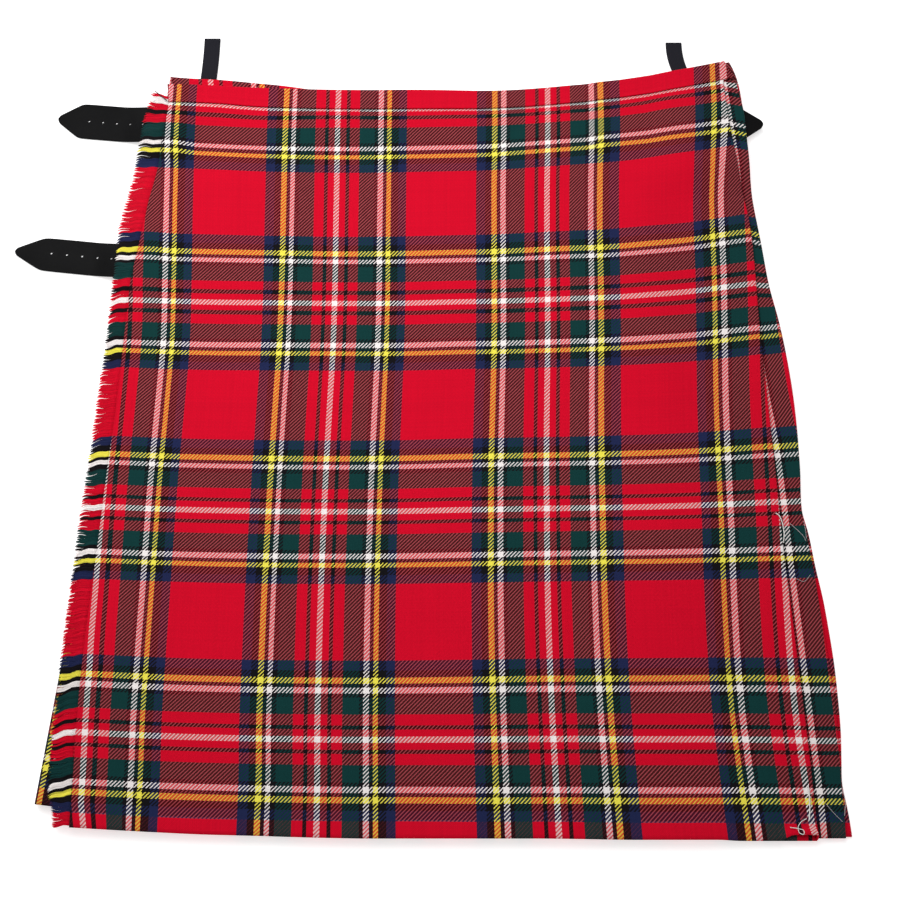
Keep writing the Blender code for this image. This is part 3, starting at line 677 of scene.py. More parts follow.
def tartan_material():
    """2/2 twill: the yarn on top changes along diagonals, two yarns of warp, then two of weft.

    A point's distance from the middle of a warp diagonal is the triangle wave of u - v, and the
    warp shows where it is under one yarn.  Where the two yarns differ, the paler one shows less,
    and along the selvedge the warp shows more.
    """
    g = Graph("red tartan")
    u, v = g.cloth_place(THREAD, THREAD)
    warp, weft = u.math("FLOOR"), v.math("FLOOR")
    along_u, along_v = u - warp, v - weft

    def shade_of(yarn, seed):
        """A little lighter or darker from yarn to yarn."""
        return 0.95 + 0.1 * g.random(yarn + seed)

    def light_of(colour):
        return g.node("ShaderNodeRGBToBW", {}, [colour])

    def red_of(colour):
        """1 for the red yarn, near 0 for the others."""
        red = g.node("ShaderNodeSeparateColor", {}, [colour])
        return (1.5 * (red - red.out("Green"))).share()

    def bright_of(light):
        """1 for a white or yellow yarn."""
        return (2.5 * light - 0.75).share()

    warp_colour, weft_colour = g.sett_colour(warp), g.sett_colour(weft)
    paler = light_of(warp_colour) - light_of(weft_colour)
    step_u = warp + 0.5 + STEPPED * (along_u - 0.5)
    step_v = weft + 0.5 + STEPPED * (along_v - 0.5)
    from_middle = (step_u - step_v - 0.5).math("PINGPONG", 2.0)
    unlike = paler.math("ABSOLUTE")
    hide = (3.2 * unlike).math("MINIMUM", HIDE_PALER - 0.04 * unlike)
    edge = v < SELVEDGE / THREAD
    reach = 1 - hide * paler.math("SIGN") + SELVEDGE_COVER * edge
    over = from_middle < reach
    top = g.mix(over, weft_colour, warp_colour)
    below = g.mix(over, warp_colour, weft_colour)
    top_light, below_light = light_of(top), light_of(below)
    # a pale yarn takes some of a red one's colour; a red yarn over a dark one gets a painted
    # shadow, and between dark ones a painted sheen
    above = (10 * (top_light - below_light)).share()
    bright, bright_below = bright_of(top_light), bright_of(below_light)
    red, red_below = red_of(top), red_of(below)
    bleed = PALE_BLEED * above * bright * (7 * below_light).math("MINIMUM", 1.0)
    # wool fibres of a red yarn lie over the dark ones beside it, and pale ones over a red one
    stained = DARK_STAIN * (1 - SELVEDGE_CLEAN * edge) * red_below * (1 - red) * (1 - bright)
    warmed = RED_WARMED * red * bright_below
    mixed = g.mix(bleed, top, below)
    mixed = g.mix(stained, mixed, g.shaded(below, linear(STAIN_SHADE)))
    mixed = g.mix(warmed, mixed, below)
    # painted sheen: a red yarn between dark ones pales towards a grey, like a highlight on its
    # raised crown
    painted_sheen = RED_PAINTED_SHEEN * red * (1 - red_below) * (1 - bright_below)
    colour = g.mix(painted_sheen, mixed, g.mix(1.6, linear(PAINTED_SHEEN_TINT), below, "ADD"))
    shadow = 1 - 0.25 * above * (1 - bright)
    yarn_shade = over * shade_of(warp, 0.5) + (1 - over) * shade_of(weft, 900.5)
    # roundness across the yarn on top, and the arch of its float
    side = over * along_u + (1 - over) * along_v
    arch = (from_middle - 1).math("ABSOLUTE")
    height = 4 * side * (1 - side) * (0.5 + 0.5 * arch)
    fibre = g.noise(2600.0)
    wide = g.noise(9.0, 3.0, 0.55)
    # painted shade: each yarn lighter on its crown, darker at its sides and at its float's ends
    round_shade = 0.77 + 0.15 * bright + (0.36 - 0.24 * bright) * height
    shade = yarn_shade * shadow * round_shade * (0.9 + 0.2 * fibre)
    return g.done(
        Base_Color=g.shaded(colour, shade * (0.95 + 0.1 * wide)),
        Roughness=0.8 + 0.12 * fibre,
        Normal=g.bump(height + 0.2 * fibre, 0.0001),
        Sheen_Weight=0.03,
        Sheen_Roughness=0.5,
        Sheen_Tint=linear((255, 190, 180)),
        Specular_IOR_Level=0.08,
    )


def fringe_material():
    """Freed weft yarns: each has the colour of its place in the sett, paler at its loose end."""
    g = Graph("fringe wool")
    end, v = g.cloth_place(1, THREAD)
    yarn = v.math("FLOOR")
    fibre = g.noise(1800.0, 3.0, 0.65)
    frayed = g.node("ShaderNodeMapRange", {"interpolation_type": "SMOOTHSTEP"},
                    {"Value": end, "From Min": 0.8, "From Max": 1.0})
    shade = (0.82 + 0.26 * g.random(yarn + 0.5)) * (0.72 + 0.5 * fibre)
    return g.done(
        Base_Color=g.shaded(g.sett_colour(yarn), shade * (1 + 0.35 * frayed)),
        Roughness=0.85 + 0.1 * fibre,
        Normal=g.bump(fibre, 0.0002),
        Sheen_Weight=0.06,
        Sheen_Roughness=0.5,
        Sheen_Tint=linear((255, 200, 190)),
        Specular_IOR_Level=0.08,
    )


def leather_material():
    """Black bridle leather: pebbled grain, pores, and a faint wear shine."""
    g = Graph("black leather")
    cells = g.node("ShaderNodeTexVoronoi", {"feature": "DISTANCE_TO_EDGE"},
                   {"Vector": g.spot(), "Scale": 900.0})
    grain = g.noise(1500.0, 4.0)
    worn = g.noise(38.0, 3.0)
    return g.done(
        Base_Color=g.shaded(linear((6, 6, 7)), 0.75 + 0.5 * worn),
        Roughness=0.55 + 0.2 * worn,
        Normal=g.bump(cells.math("MINIMUM", 0.25) * 2.2 + 0.5 * grain, 0.00007),
        Specular_IOR_Level=0.12,
    )


def tape_material():
    """Narrow woven tape: ribs across it and fine yarns along it, with painted shade in the grooves
    between them.
    """
    g = Graph("black tape")
    u, v = g.cloth_place(0.55, 0.8)
    rib = 4 * (v % 1) * (1 - v % 1)
    yarn = 4 * (u % 1) * (1 - u % 1)
    fibre = g.noise(1900.0)
    height = rib * (0.5 + 0.5 * yarn)
    # painted shade: the colour darkens in the grooves between the ribs and the yarns
    return g.done(
        Base_Color=g.shaded(linear((32, 32, 40)), (0.6 + 0.5 * height) * (0.8 + 0.4 * fibre)),
        Roughness=0.8 + 0.1 * fibre,
        Normal=g.bump(height, 0.00015),
        Sheen_Weight=0.03,
        Specular_IOR_Level=0.15,
    )


def nickel_material():
    """Plated wire, brushed a little by wear."""
    g = Graph("nickel plate")
    worn = g.noise(120.0, 4.0)
    return g.done(
        Base_Color=g.mix(worn, linear((196, 192, 184)), linear((226, 223, 216))),
        Metallic=1.0,
        Roughness=0.2 + 0.18 * worn,
        Normal=g.bump(g.noise(2400.0), 0.00002),
    )


def thread_material(name, colour):
    """Sewing thread with two plies."""
    g = Graph(name)
    u, v = g.cloth_place(0.9, 2.0)
    twist = (u + v) % 1
    ply = 4 * twist * (1 - twist)
    # painted shade: the colour darkens in the groove between the two plies
    return g.done(
        Base_Color=g.shaded(linear(colour), 0.75 + 0.25 * ply),
        Roughness=0.7,
        Normal=g.bump(ply, 0.0001),
        Sheen_Weight=0.1,
    )


def floor_material():
    """Plain matt white paper."""
    g = Graph("white paper")
    fibre = g.noise(160.0, 3.0, 0.5)
    return g.done(
        Base_Color=g.mix(fibre * 0.02, linear((236, 236, 236)), linear((222, 222, 222))),
        Roughness=0.95,
        Specular_IOR_Level=0.0,
        Emission_Color=(1.0, 1.0, 1.0, 1.0),
        Emission_Strength=0.6,
    )


TARTAN = tartan_material()
FRINGE = fringe_material()
LEATHER = leather_material()
TAPE = tape_material()
NICKEL = nickel_material()
WHITE_THREAD = thread_material("white basting thread", (246, 244, 240))
GREY_THREAD = thread_material("grey basting thread", (176, 170, 172))
DARK_THREAD = thread_material("dark thread", (74, 10, 24))


# --- cloth pieces ---
def rows_of(first, last, step):
    count = int(round((last - first) / step)) + 1
    return np.linspace(first, last, count)[:, None]


def hem_sunk(x, level):
    """How much lower the hem hangs towards its right side and at its left end."""
    sunk = 0.9 * smooth(60, 140, x) + 0.8 * smooth(194, 212, x) + 0.7 * smooth(-130, -190, x)
    return sunk * (1 - smooth(0, 26, level))


def seam_raised(x, level):
    """How much higher the waist seam and the cloth below it lie towards the middle."""
    raised = 0.8 * smooth(-236, -215, x) + 0.9 * smooth(-130, -10, x)
    return raised * (1 - smooth(95, 150, x)) * smooth(548, 574, level)


FRONT_COLUMNS = 172
LAST_ROWS = (4.5, 3, 2, 1, 0)  # of the apron, in mm below the seam
CURL_BACK, CURL_HEIGHT = 4.2, 2.4  # how far the corner curls up the kilt, and over it


def front_apron():
    """Top panel from the weave edge to the fold, and its side turned under.

    Its lower right corner curls up and shows what is turned under.
    """
    level = np.concatenate([rows_of(0, SEAM - 6, 3.2), SEAM - np.array(LAST_ROWS)[:, None]])
    fold = apron_fold(level)
    high = over_edge_height(level)
    x, z = turned(weave_edge(level), fold, fold - TURN_UNDER, high, high - PITCH,
                  (FRONT_COLUMNS, 9, 8))
    front = x[:, :FRONT_COLUMNS]
    free = smooth(0, 60, SEAM - 24 - level) * (1 - smooth(fold - 26, fold - 6, front))
    tucked = smooth(SEAM - 3.2, SEAM - 0.4, level)
    z[:, :FRONT_COLUMNS] = (over_height(front, level) + creases(APRON_CREASES, front, level) * free
                            - tucked)
    z[:, FRONT_COLUMNS - 1] = z[:, FRONT_COLUMNS]
    u = carry_on(warp_place(x, level), x, z, FRONT_COLUMNS - 1, slice(FRONT_COLUMNS, None))
    upper = np.clip((z - high + PITCH) / PITCH, 0, 1)
    curl = upper * smooth(239, 249, x) * (1 - smooth(0, 11, level))
    rise = CURL_BACK * curl - hem_sunk(x, level) + seam_raised(x, level)
    z = z + CURL_HEIGHT * curl
    return cloth_piece("front_apron", x, level, z, u, weft_place(x, level), rise)


# level, x of the white stripe that runs down the pleat beside the apron
PLEAT_RUN = (
    (0, 272.5), (35, 271.5), (70, 269.5), (110, 267.4), (150, 265.2), (200, 262.4), (250, 260.2),
    (290, 257.4), (330, 252.6), (370, 248.8), (420, 245.0), (470, 242.0), (500, 241.6),
    (520, 240.0), (560, 236.4), (611, 232.0),
)
PLEAT_STRIPE = -36.1  # place of that stripe in the tartan


def pleat_layer():
    """The pleat beside the apron: out to its fold and back under."""
    level = rows_of(0.1, SEAM, 4)
    fold = pleat_fold(level) - 2.6 * smooth(556, 592, level)
    high = over_edge_height(level) - 2 * PITCH
    x, z = turned(apron_fold(level) - TURN_UNDER, fold, fold - TURN_UNDER, high, high - PITCH,
                  (30, 9, 8))
    u = carry_on(PLEAT_STRIPE + x - column(PLEAT_RUN, 1, level), x, z, 29, slice(30, None))
    tilt = 0.4 * smooth(370, 450, level)
    v = weft_place(x, level + tilt * (x - apron_fold(level) + 2))
    return cloth_piece("pleat_layer", x, level, z, u, v)


def hip_layer():
    """The last fold before the pleats, and the cloth that runs on from it to the first pleat."""
    level = rows_of(1.1, BACK_SEAM, 4)
    fold = outer_fold(level) + 1.6 * (1 - smooth(0, 30, level))
    low = FLOOR_LAYER + right_lift(level)
    start = between(PLEATS_RIGHT, level)
    x, z = turned(fold - TURN_UNDER, fold, start + GAP, low + PITCH, low, (12, 9, 24))
    z[:, 21:] = FLOOR_LAYER + (low - FLOOR_LAYER) * smooth(start + 3, start + 12, x[:, 21:])
    length = run_length(x, z)
    u = 72 + length - length[:, 14:15]
    return cloth_piece("hip_layer", x, level, z, u, weft_place(x, level))


def pleated_back():
    """Knife pleats from right to left: a face on the table, and a run behind it and back.

    Each pleat's face shows the next stretch of the tartan, so the pattern runs on across the
    back; its hidden run takes up whole setts.
    """
    level = rows_of(2.5, BACK_SEAM, 9)
    reveal = pleat_reveal(level)
    climb = 2 * PITCH / reveal
    radius = PITCH / 2
    tangent = WALL / 2 + radius
    turn = steps(7, 0, np.pi)[:, 1:-1]
    share = steps(6)
    x_parts, z_parts = [], []
    for pleat in range(PLEATS):
        shallow = LAST_PLEAT_DEPTH + LAST_PLEAT_STEP * (PLEATS - 1 - pleat)
        depth = np.minimum(pleat_depth(level), shallow)
        start = between(PLEATS_RIGHT, level) - pleat * reveal
        first = tangent if pleat else 0.0
        flat = FLAT_SHARE * reveal
        far = reveal + depth - radius
        run = reveal + (far - reveal) * share[:, 1:]
        run_end = 2 * PITCH + climb * (depth - radius)
        # along the table and up from it: face, step up, hidden run, bend, way back, bend
        sections = (
            (first + (flat - first) * share, 0),
            (flat + (reveal - flat) * share[:, 1:], 2 * PITCH * smooth(0, 1, share[:, 1:])),
            (run, 2 * PITCH + climb * (run - reveal)),
            (far + radius * np.sin(turn), run_end - radius * (1 - np.cos(turn))),
            (far + (reveal + tangent - far) * share,
             run_end - PITCH + (2 * PITCH + climb * tangent - run_end) * share),
            (reveal + tangent - radius * np.sin(turn), radius * (1 + np.cos(turn))),
        )
        x_parts += [start - along for along, up in sections]
        z_parts += [FLOOR_LAYER + up + 0 * along for along, up in sections]
    x_parts.append(between(PLEATS_LEFT, level) - tangent + (tangent - LAST_GAP) * steps(4))
    z_parts.append(FLOOR_LAYER + 0 * x_parts[-1])
    x, z = np.concatenate(x_parts, 1), np.concatenate(z_parts, 1)
    return cloth_piece("pleated_back", x, level, z, x, weft_place(0 * x, level),
                       back_rise(x, level))


FOLD_TO_PIVOT = 135.2  # on the under apron, from the left fold to a white stripe
BAND_PLACE = 66.5  # weft place of the bands' lower edge
BAND_END, BAND_SLANT = 243.5, 8.5  # right end of the front band, and how far its top is cut back
BAND_BOW = 1.6
BAND_LAP = 0.6  # how far its face laps over the apron
BACK_END_RAISED = 4.5


def under_panel():
    """From the pleats along the hip strip to the left fold, and back over the top.

    Its stripes run beside the left fold, and its weft falls to the right at a right angle.
    """
    level = rows_of(2.5, BACK_SEAM, 5)
    left = back_left(level)
    start = between(PLEATS_LEFT, level) - LAST_GAP - GAP
    low = FLOOR_LAYER + left_lift(level)
    edge_high = under_height(left, level)
    half = np.minimum((edge_high - low) / 2, 6.0)
    middle = (edge_high + low) / 2
    bend = left + WALL / 2 + half
    strip = start + (bend - start) * steps(18)
    strip_z = FLOOR_LAYER + (low - FLOOR_LAYER) * smooth(start - 5, start - 14, strip)
    turn = steps(13, 0, np.pi)[:, 1:-1]
    top = bend + (between(UNDER_APRON_RIGHT, level) - bend) * steps(100)
    x = np.concatenate([strip, bend - half * np.sin(turn), top], 1)
    z = np.concatenate([strip_z, middle - (middle - low) * np.cos(turn),
                        under_height(top, level)], 1)
    join = strip.shape[1] + turn.shape[1]
    u = carry_on(x - left - FOLD_TO_PIVOT, x, z, join, slice(0, join))
    v = weft_place(0 * x, level - 4.1 + 0.16 * np.clip(x - left, 0, 40))
    return cloth_piece("under_panel", x, level, z, u, v, back_rise(x, level))


# --- waistbands ---
def band(name, left, right, top, height, level_of, place_of, drop, columns=150, lap=0.0):
    """A strip doubled over its top edge: visible side, half round over the top, hidden side.

    With a lap, the visible side's lower edge stands a little proud of the cloth below it.
    """
    seam = top - BAND + GAP
    half = PITCH / 2
    bend = top - WALL / 2 - half
    turn = steps(9, 0, np.pi)[0, 1:-1]
    face = np.linspace(seam - lap, bend, 14)
    level = np.concatenate([face, bend + half * np.sin(turn), np.linspace(bend, seam, 5)])[:, None]
    proud = lap * (1 - smooth(seam - lap + 0.5, seam + 3, face))
    rise = np.concatenate([proud, drop / 2 * (1 - np.cos(turn)), np.full(5, drop)])[:, None]
    x = left(level) + (right(level) - left(level)) * steps(columns)
    run = run_length(level.T, rise.T).T
    grid = np.stack([x, y_of(x, level_of(x, level)), height(x, level) + rise], -1)
    return shell(name, grid, pair(place_of(x, level), BAND_PLACE + run), TARTAN)


def front_band():
    """Band on the over apron: the warp stripes run on, and it is cut in one wide red stripe.

    Its right end slants in towards the top, and its top edge bows up left of the middle.
    """
    def right(level):
        return BAND_END - BAND_SLANT * smooth(SEAM - 4, DROP + 2, level)

    def raised(x, level):
        bowed = BAND_BOW * smooth(-205, -150, x) * (1 - smooth(-40, 60, x))
        return level + seam_raised(x, SEAM) + bowed * smooth(SEAM, DROP, level)

    return band("front_band", weave_edge, right, DROP,
                lambda x, level: over_height(x, np.minimum(level, SEAM)),
                raised, warp_place, -PITCH, columns=190, lap=BAND_LAP)


def under_band():
    return band("under_band", lambda level: back_left(level) + 0.3,
                lambda level: between(UNDER_APRON_RIGHT, level), BACK_DROP,
                lambda x, level: under_height(x, np.minimum(level, BACK_SEAM)), back_level,
                lambda x, level: x - between(UNDER_STRIPE, level), -PITCH)


def back_band_height(x, level):
    """Centre of the back's band: on the table, and lifted by the hips at both ends."""
    at = np.minimum(level, BACK_SEAM)
    left = left_lift(at) * (1 - smooth(26, 56, x - back_left(at)))
    return FLOOR_LAYER + left + right_lift(at) * smooth(-44, -28, x - outer_fold(at))


def back_band():
    def raised(x, level):
        end = BACK_END_RAISED * smooth(206, 230, x) * smooth(BACK_SEAM, BACK_DROP, level)
        return back_level(x, level) + end

    return band("back_band", lambda level: back_left(level) + 0.3,
                lambda level: outer_fold(level) - 0.5, BACK_DROP, back_band_height, raised,
                lambda x, level: x - 45 + 0 * level, PITCH)


# --- fringe ---
YARNS = 1320
YARN_RINGS = 9
YARN_SIDES = 4


def fringe_support(x, y, level):
    """Top of what lies under a fringe yarn: the under apron, a strap or the table."""
    edge = back_left(y - HEM_Y - LEFT_RISE)
    inside = np.maximum(x, edge + 2)
    top = np.where(x > edge - 3, under_height(inside, level - back_rise(inside, level)) + 0.55, 0)
    for strap in STRAPS.values():
        near = np.abs(y - strap_axis_y(strap, x)) < strap.width / 2 + 0.8
        top = np.where(near, np.maximum(top, left_strap_height(strap, x) + STRAP_THICK / 2), top)
    return top


def fringe_yarns():
    """Freed weft yarns side by side, each four-sided, their ends drawn together in small tips.

    A yarn runs left from its row by length * share, drifts by length * lean * share^1.3, waves
    in a crimp that neighbours share, moves towards its lock's middle by share^7, and sinks
    by the square of its run from the apron's height to what lies under it.
    """
    rng = np.random.default_rng(11)

    def random(low, high):
        return rng.uniform(low, high, (YARNS, 1))

    level = np.linspace(0.8, FRINGE_TOP, YARNS)[:, None]
    share = 1 - steps(YARN_RINGS, 1, 0) ** 1.5
    root_x = weave_edge(level) + 0.1 - 0.4 * smooth(SEAM - 3, SEAM, level)
    locks = np.cumsum(rng.uniform(1.1, 2.5, 400))
    lock = np.clip(np.searchsorted(locks, level), 1, len(locks) - 1)
    middle = (locks[lock - 1] + locks[lock]) / 2
    off_middle = np.abs(level - middle) / ((locks[lock] - locks[lock - 1]) / 2)
    lock_length = rng.uniform(-0.7, 0.7, len(locks))[lock]
    lock_lean = rng.uniform(-0.035, 0.035, len(locks))[lock]
    length = column(FREED_YARNS, 1, level) + lock_length
    length = length - off_middle ** 1.5 * between((0.6, 1.3), level) + random(-0.35, 0.45)
    lean = column(FREED_YARNS, 2, level) + lock_lean + 0.03 * np.sin(level / 8.7 + 1)
    pull = between((0.25, 0.6), level) * (middle - level)
    wave = random(0.03, 0.12) * np.sin(share * random(5, 9) + random(0, 6.28))
    run = length * share
    x = root_x - run
    crimp = 0.65 * np.sin(0.42 * run + 2.2 * np.sin(level / 17)) * smooth(0, 0.3, share)
    y = y_of(root_x, level) + length * lean * share ** 1.3 + pull * share ** 7
    y = y + crimp + wave * share
    free = over_height(root_x, np.minimum(level, SEAM)) - 0.012 * run ** 2
    radius = 0.36 * (1 - 0.62 * smooth(0.86, 1, share)) + 0 * level
    rest = fringe_support(x, y, level) + radius + random(0.05, 0.5) * share
    z = np.maximum(free + random(-0.14, 0.14), rest)
    turn = np.pi / 4 + np.arange(YARN_SIDES) * 2 * np.pi / YARN_SIDES
    ring = np.stack([0 * turn, np.cos(turn), np.sin(turn)], -1)
    points = np.stack([x, y, z], -1)[:, :, None] + ring * radius[..., None, None]
    number = np.arange(radius.size * YARN_SIDES).reshape(YARNS, YARN_RINGS, YARN_SIDES)
    here, there = number[:, :-1], number[:, 1:]
    walls = np.stack([here, there, np.roll(there, -1, 2), np.roll(here, -1, 2)], -1)
    faces = np.concatenate([walls.reshape(-1, 4), number[:, 0], number[:, -1, ::-1]])
    places = np.repeat(pair(share, weft_place(root_x, level))[:, :, None], YARN_SIDES, 2)
    return make_piece("fringe_yarns", points.reshape(-1, 3), faces.tolist(), FRINGE,
                      places.reshape(-1, 2))


# --- straps, loops, threads ---
def loft(count, sides, joined=False):
    """Faces between rings of points, with a flat face on each end, or the last ring joined on."""
    number = np.arange(count * sides).reshape(count, sides)
    here = number if joined else number[:-1]
    there = np.roll(number, -1, 0)[:len(here)]
    walls = np.stack([here, np.roll(here, -1, 1), np.roll(there, -1, 1), there], -1)
    ends = [] if joined else [number[0, ::-1].tolist(), number[-1].tolist()]
    return walls.reshape(-1, 4).tolist() + ends


def slab_ring(half_width, half_thick, radius, count=4):
    """Section of a slab with rounded edges: across and up, one ring a row of half_width."""
    turn = np.linspace(0, np.pi / 2, count)
    corner = np.concatenate([turn + quarter * np.pi / 2 for quarter in range(4)])
    side = np.repeat([1, -1, -1, 1], count)
    up = np.repeat([1, 1, -1, -1], count)
    edge = np.minimum(radius, half_width * 0.9)
    across = side * (half_width - edge) + edge * np.cos(corner)
    return across, up * (half_thick - radius) + radius * np.sin(corner) + 0 * across


def leather_strap(name, strap, height, side):
    """A strap along its axis: a rounded slab that tapers to its point, punched with five holes.

    The half width is the smaller of the taper t and the full half width f, with a round
    shoulder s between them: (t + f - sqrt((t - f)^2 + s^2)) / 2, and a round tip.
    """
    spread = np.concatenate([np.linspace(0, 1, 12) ** 2 * 4, np.linspace(5, strap.point + 6, 14),
                             np.linspace(strap.point + 9, abs(strap.tip_x - strap.root_x), 34)])
    spread = spread[:, None]
    full = strap.width / 2
    taper = 2.6 + (full - 1.6) * spread / strap.point
    half_width = (taper + full - np.sqrt((taper - full) ** 2 + STRAP_SHOULDER ** 2)) / 2
    half_width = half_width * np.sqrt(1 - (1 - np.clip(spread / 2.2, 0.02, 1)) ** 2)
    across, up = slab_ring(half_width, STRAP_THICK / 2, 0.75)
    axis_x = strap.tip_x - side * spread
    angle = math.atan(strap.slope)
    x = axis_x - across * math.sin(angle)
    y = strap_sag(strap, axis_x, height) + across * math.cos(angle)
    points = np.stack([x, y, height(axis_x) + up], -1)
    if side < 0:
        points = points[:, ::-1]
    piece = make_piece(name, points.reshape(-1, 3), loft(*points.shape[:2]), LEATHER)
    punch_x = strap.tip_x - side * (strap.first_hole + np.arange(HOLES) * strap.hole_pitch)
    punch_y = strap_sag(strap, punch_x, height) + strap.hole_rise
    punch_holes(piece, punch_x, punch_y, height(punch_x))
    return piece


def punch_holes(piece, x, y, z):
    """Take round holes away with a Boolean, applied at once."""
    turn = np.arange(PUNCH_SIDES) * 2 * np.pi / PUNCH_SIDES
    x, y, z = (value[:, None, None] for value in (x, y, z))
    points = np.stack(np.broadcast_arrays(
        x + HOLE_RADIUS * np.cos(turn), y + HOLE_RADIUS * np.sin(turn),
        z + np.array([[-4], [4]])), -1)
    faces = [[hole * 2 * PUNCH_SIDES + corner for corner in face]
             for hole in range(len(x)) for face in loft(2, PUNCH_SIDES)]
    cutter = make_piece(piece.name + "_punch", points.reshape(-1, 3), faces, LEATHER)
    modifier = piece.modifiers.new("holes", "BOOLEAN")
    modifier.operation = "DIFFERENCE"
    modifier.object = cutter
    evaluated = piece.evaluated_get(bpy.context.evaluated_depsgraph_get())
    mesh = bpy.data.meshes.new_from_object(evaluated)
    piece.modifiers.clear()
    piece.data = mesh
    mesh.set_sharp_from_angle(angle=math.radians(40))
    bpy.data.objects.remove(cutter, do_unlink=True)


def tape_loop(name, x, foot_y, top_y, lean, foot_z):
    """A tape doubled over at its top; the foot leans to one side and rises to the waistband."""
    pitch = TAPE_THICK + GAP
    rest = TAPE_THICK / 2 + GAP
    bend = top_y - TAPE_THICK / 2 - pitch / 2
    share = np.linspace(0, 1, 22)
    turn = steps(9, 0, np.pi)[0, 1:-1]
    y_leg = foot_y + (bend - foot_y) * share
    z_leg = rest + (foot_z - rest) * (1 - smooth(0, 0.9, share))
    move = lean * (1 - share) ** 2.4
    y = np.concatenate([y_leg, bend + pitch / 2 * np.sin(turn), y_leg[::-1]])[:, None]
    z = np.concatenate([z_leg + pitch, rest + pitch / 2 * (1 + np.cos(turn)), z_leg[::-1]])[:, None]
    shift = np.concatenate([move, 0 * turn, move[::-1]])[:, None]
    across = steps(9, -1, 1) * TAPE_WIDTH / 2
    centre = np.stack(np.broadcast_arrays(x + shift + across, y, z), -1)
    return shell(name, centre, pair(across, run_length(y.T, z.T).T), TAPE, TAPE_THICK)


def tube(name, path, radius, material, sides=8, joined=False, flat=1.0):
    """A round wire along a path: rings of radius across it, flat times as high as wide."""
    path = np.asarray(path, float)
    ahead = unit(np.roll(path, -1, 0) - np.roll(path, 1, 0) if joined
                 else np.gradient(path, axis=0))
    side = unit(np.cross(ahead, np.array([0.0, 0.0, 1.0])))
    up = np.cross(side, ahead)
    turn = np.arange(sides) * 2 * np.pi / sides
    ring = side[:, None] * np.cos(turn)[:, None] + up[:, None] * flat * np.sin(turn)[:, None]
    points = path[:, None] + ring * radius
    places = pair(chord_of(path)[:, None], turn[None] * radius)
    faces = [face[::-1] for face in loft(len(path), sides, joined)]
    return make_piece(name, points.reshape(-1, 3), faces, material, places.reshape(-1, 2))


def spline(points, count=40):
    """A smooth path through points: a cubic on their chord length."""
    chord = chord_of(points)
    table = np.column_stack([chord, points])
    along = np.linspace(0, chord[-1], count)
    return np.stack([column(table, number, along) for number in range(1, 4)], -1)


# --- loose threads ---
# name, colour, half thickness, points: basting that was left in, and a ravelling at the top left
LOOSE_THREADS = (
    ("tack_fold", "white", 0.4, (
        (252.7, -50.1, 9.1), (254.9, -52.2, 9.8), (256.2, -55.1, 10.0), (257.6, -60.3, 9.0),
        (258.0, -67.4, 8.8), (257.2, -73.6, 8.4))),
    ("tack_pleat", "grey", 0.24, (
        (264.0, -57.7, 5.9), (269.8, -63.9, 7.0), (273.8, -68.6, 6.8), (275.3, -71.6, 6.0))),
    ("tack_side", "grey", 0.22, (
        (274.7, -55.7, 5.9), (275.4, -63.0, 6.6), (275.8, -69.6, 6.0))),
    ("tack_short", "grey", 0.2, (
        (266.2, -101.3, 5.9), (270.8, -103.4, 6.6), (276.8, -97.9, 6.1))),
    ("basting_hem", "white", 0.45, (
        (262.1, -255.3, 9.3), (262.4, -262.6, 10.0), (262.0, -271.1, 10.2), (260.7, -279.9, 11.2))),
    ("basting_loop", "white", 0.3, (
        (258.8, -278.5, 11.6), (254.5, -280.9, 11.9), (252.0, -285.1, 12.2), (253.1, -288.9, 12.6),
        (255.9, -289.3, 12.8), (255.9, -287.1, 12.6), (251.6, -285.5, 11.9),
        (246.5, -284.7, 10.6))),
    ("basting_low", "grey", 0.24, (
        (275.0, -267.9, 6.0), (280.2, -274.6, 7.0), (286.2, -280.7, 6.2))),
    ("basting_corner", "grey", 0.26, (
        (287.6, -256.8, 5.9), (289.2, -264.7, 6.6), (288.1, -276.6, 6.1))),
    ("ravelling", "dark", 0.42, (
        (-251.1, 318.4, 12.0), (-246.2, 313.4, 14.0), (-239.4, 306.9, 16.0))),
)


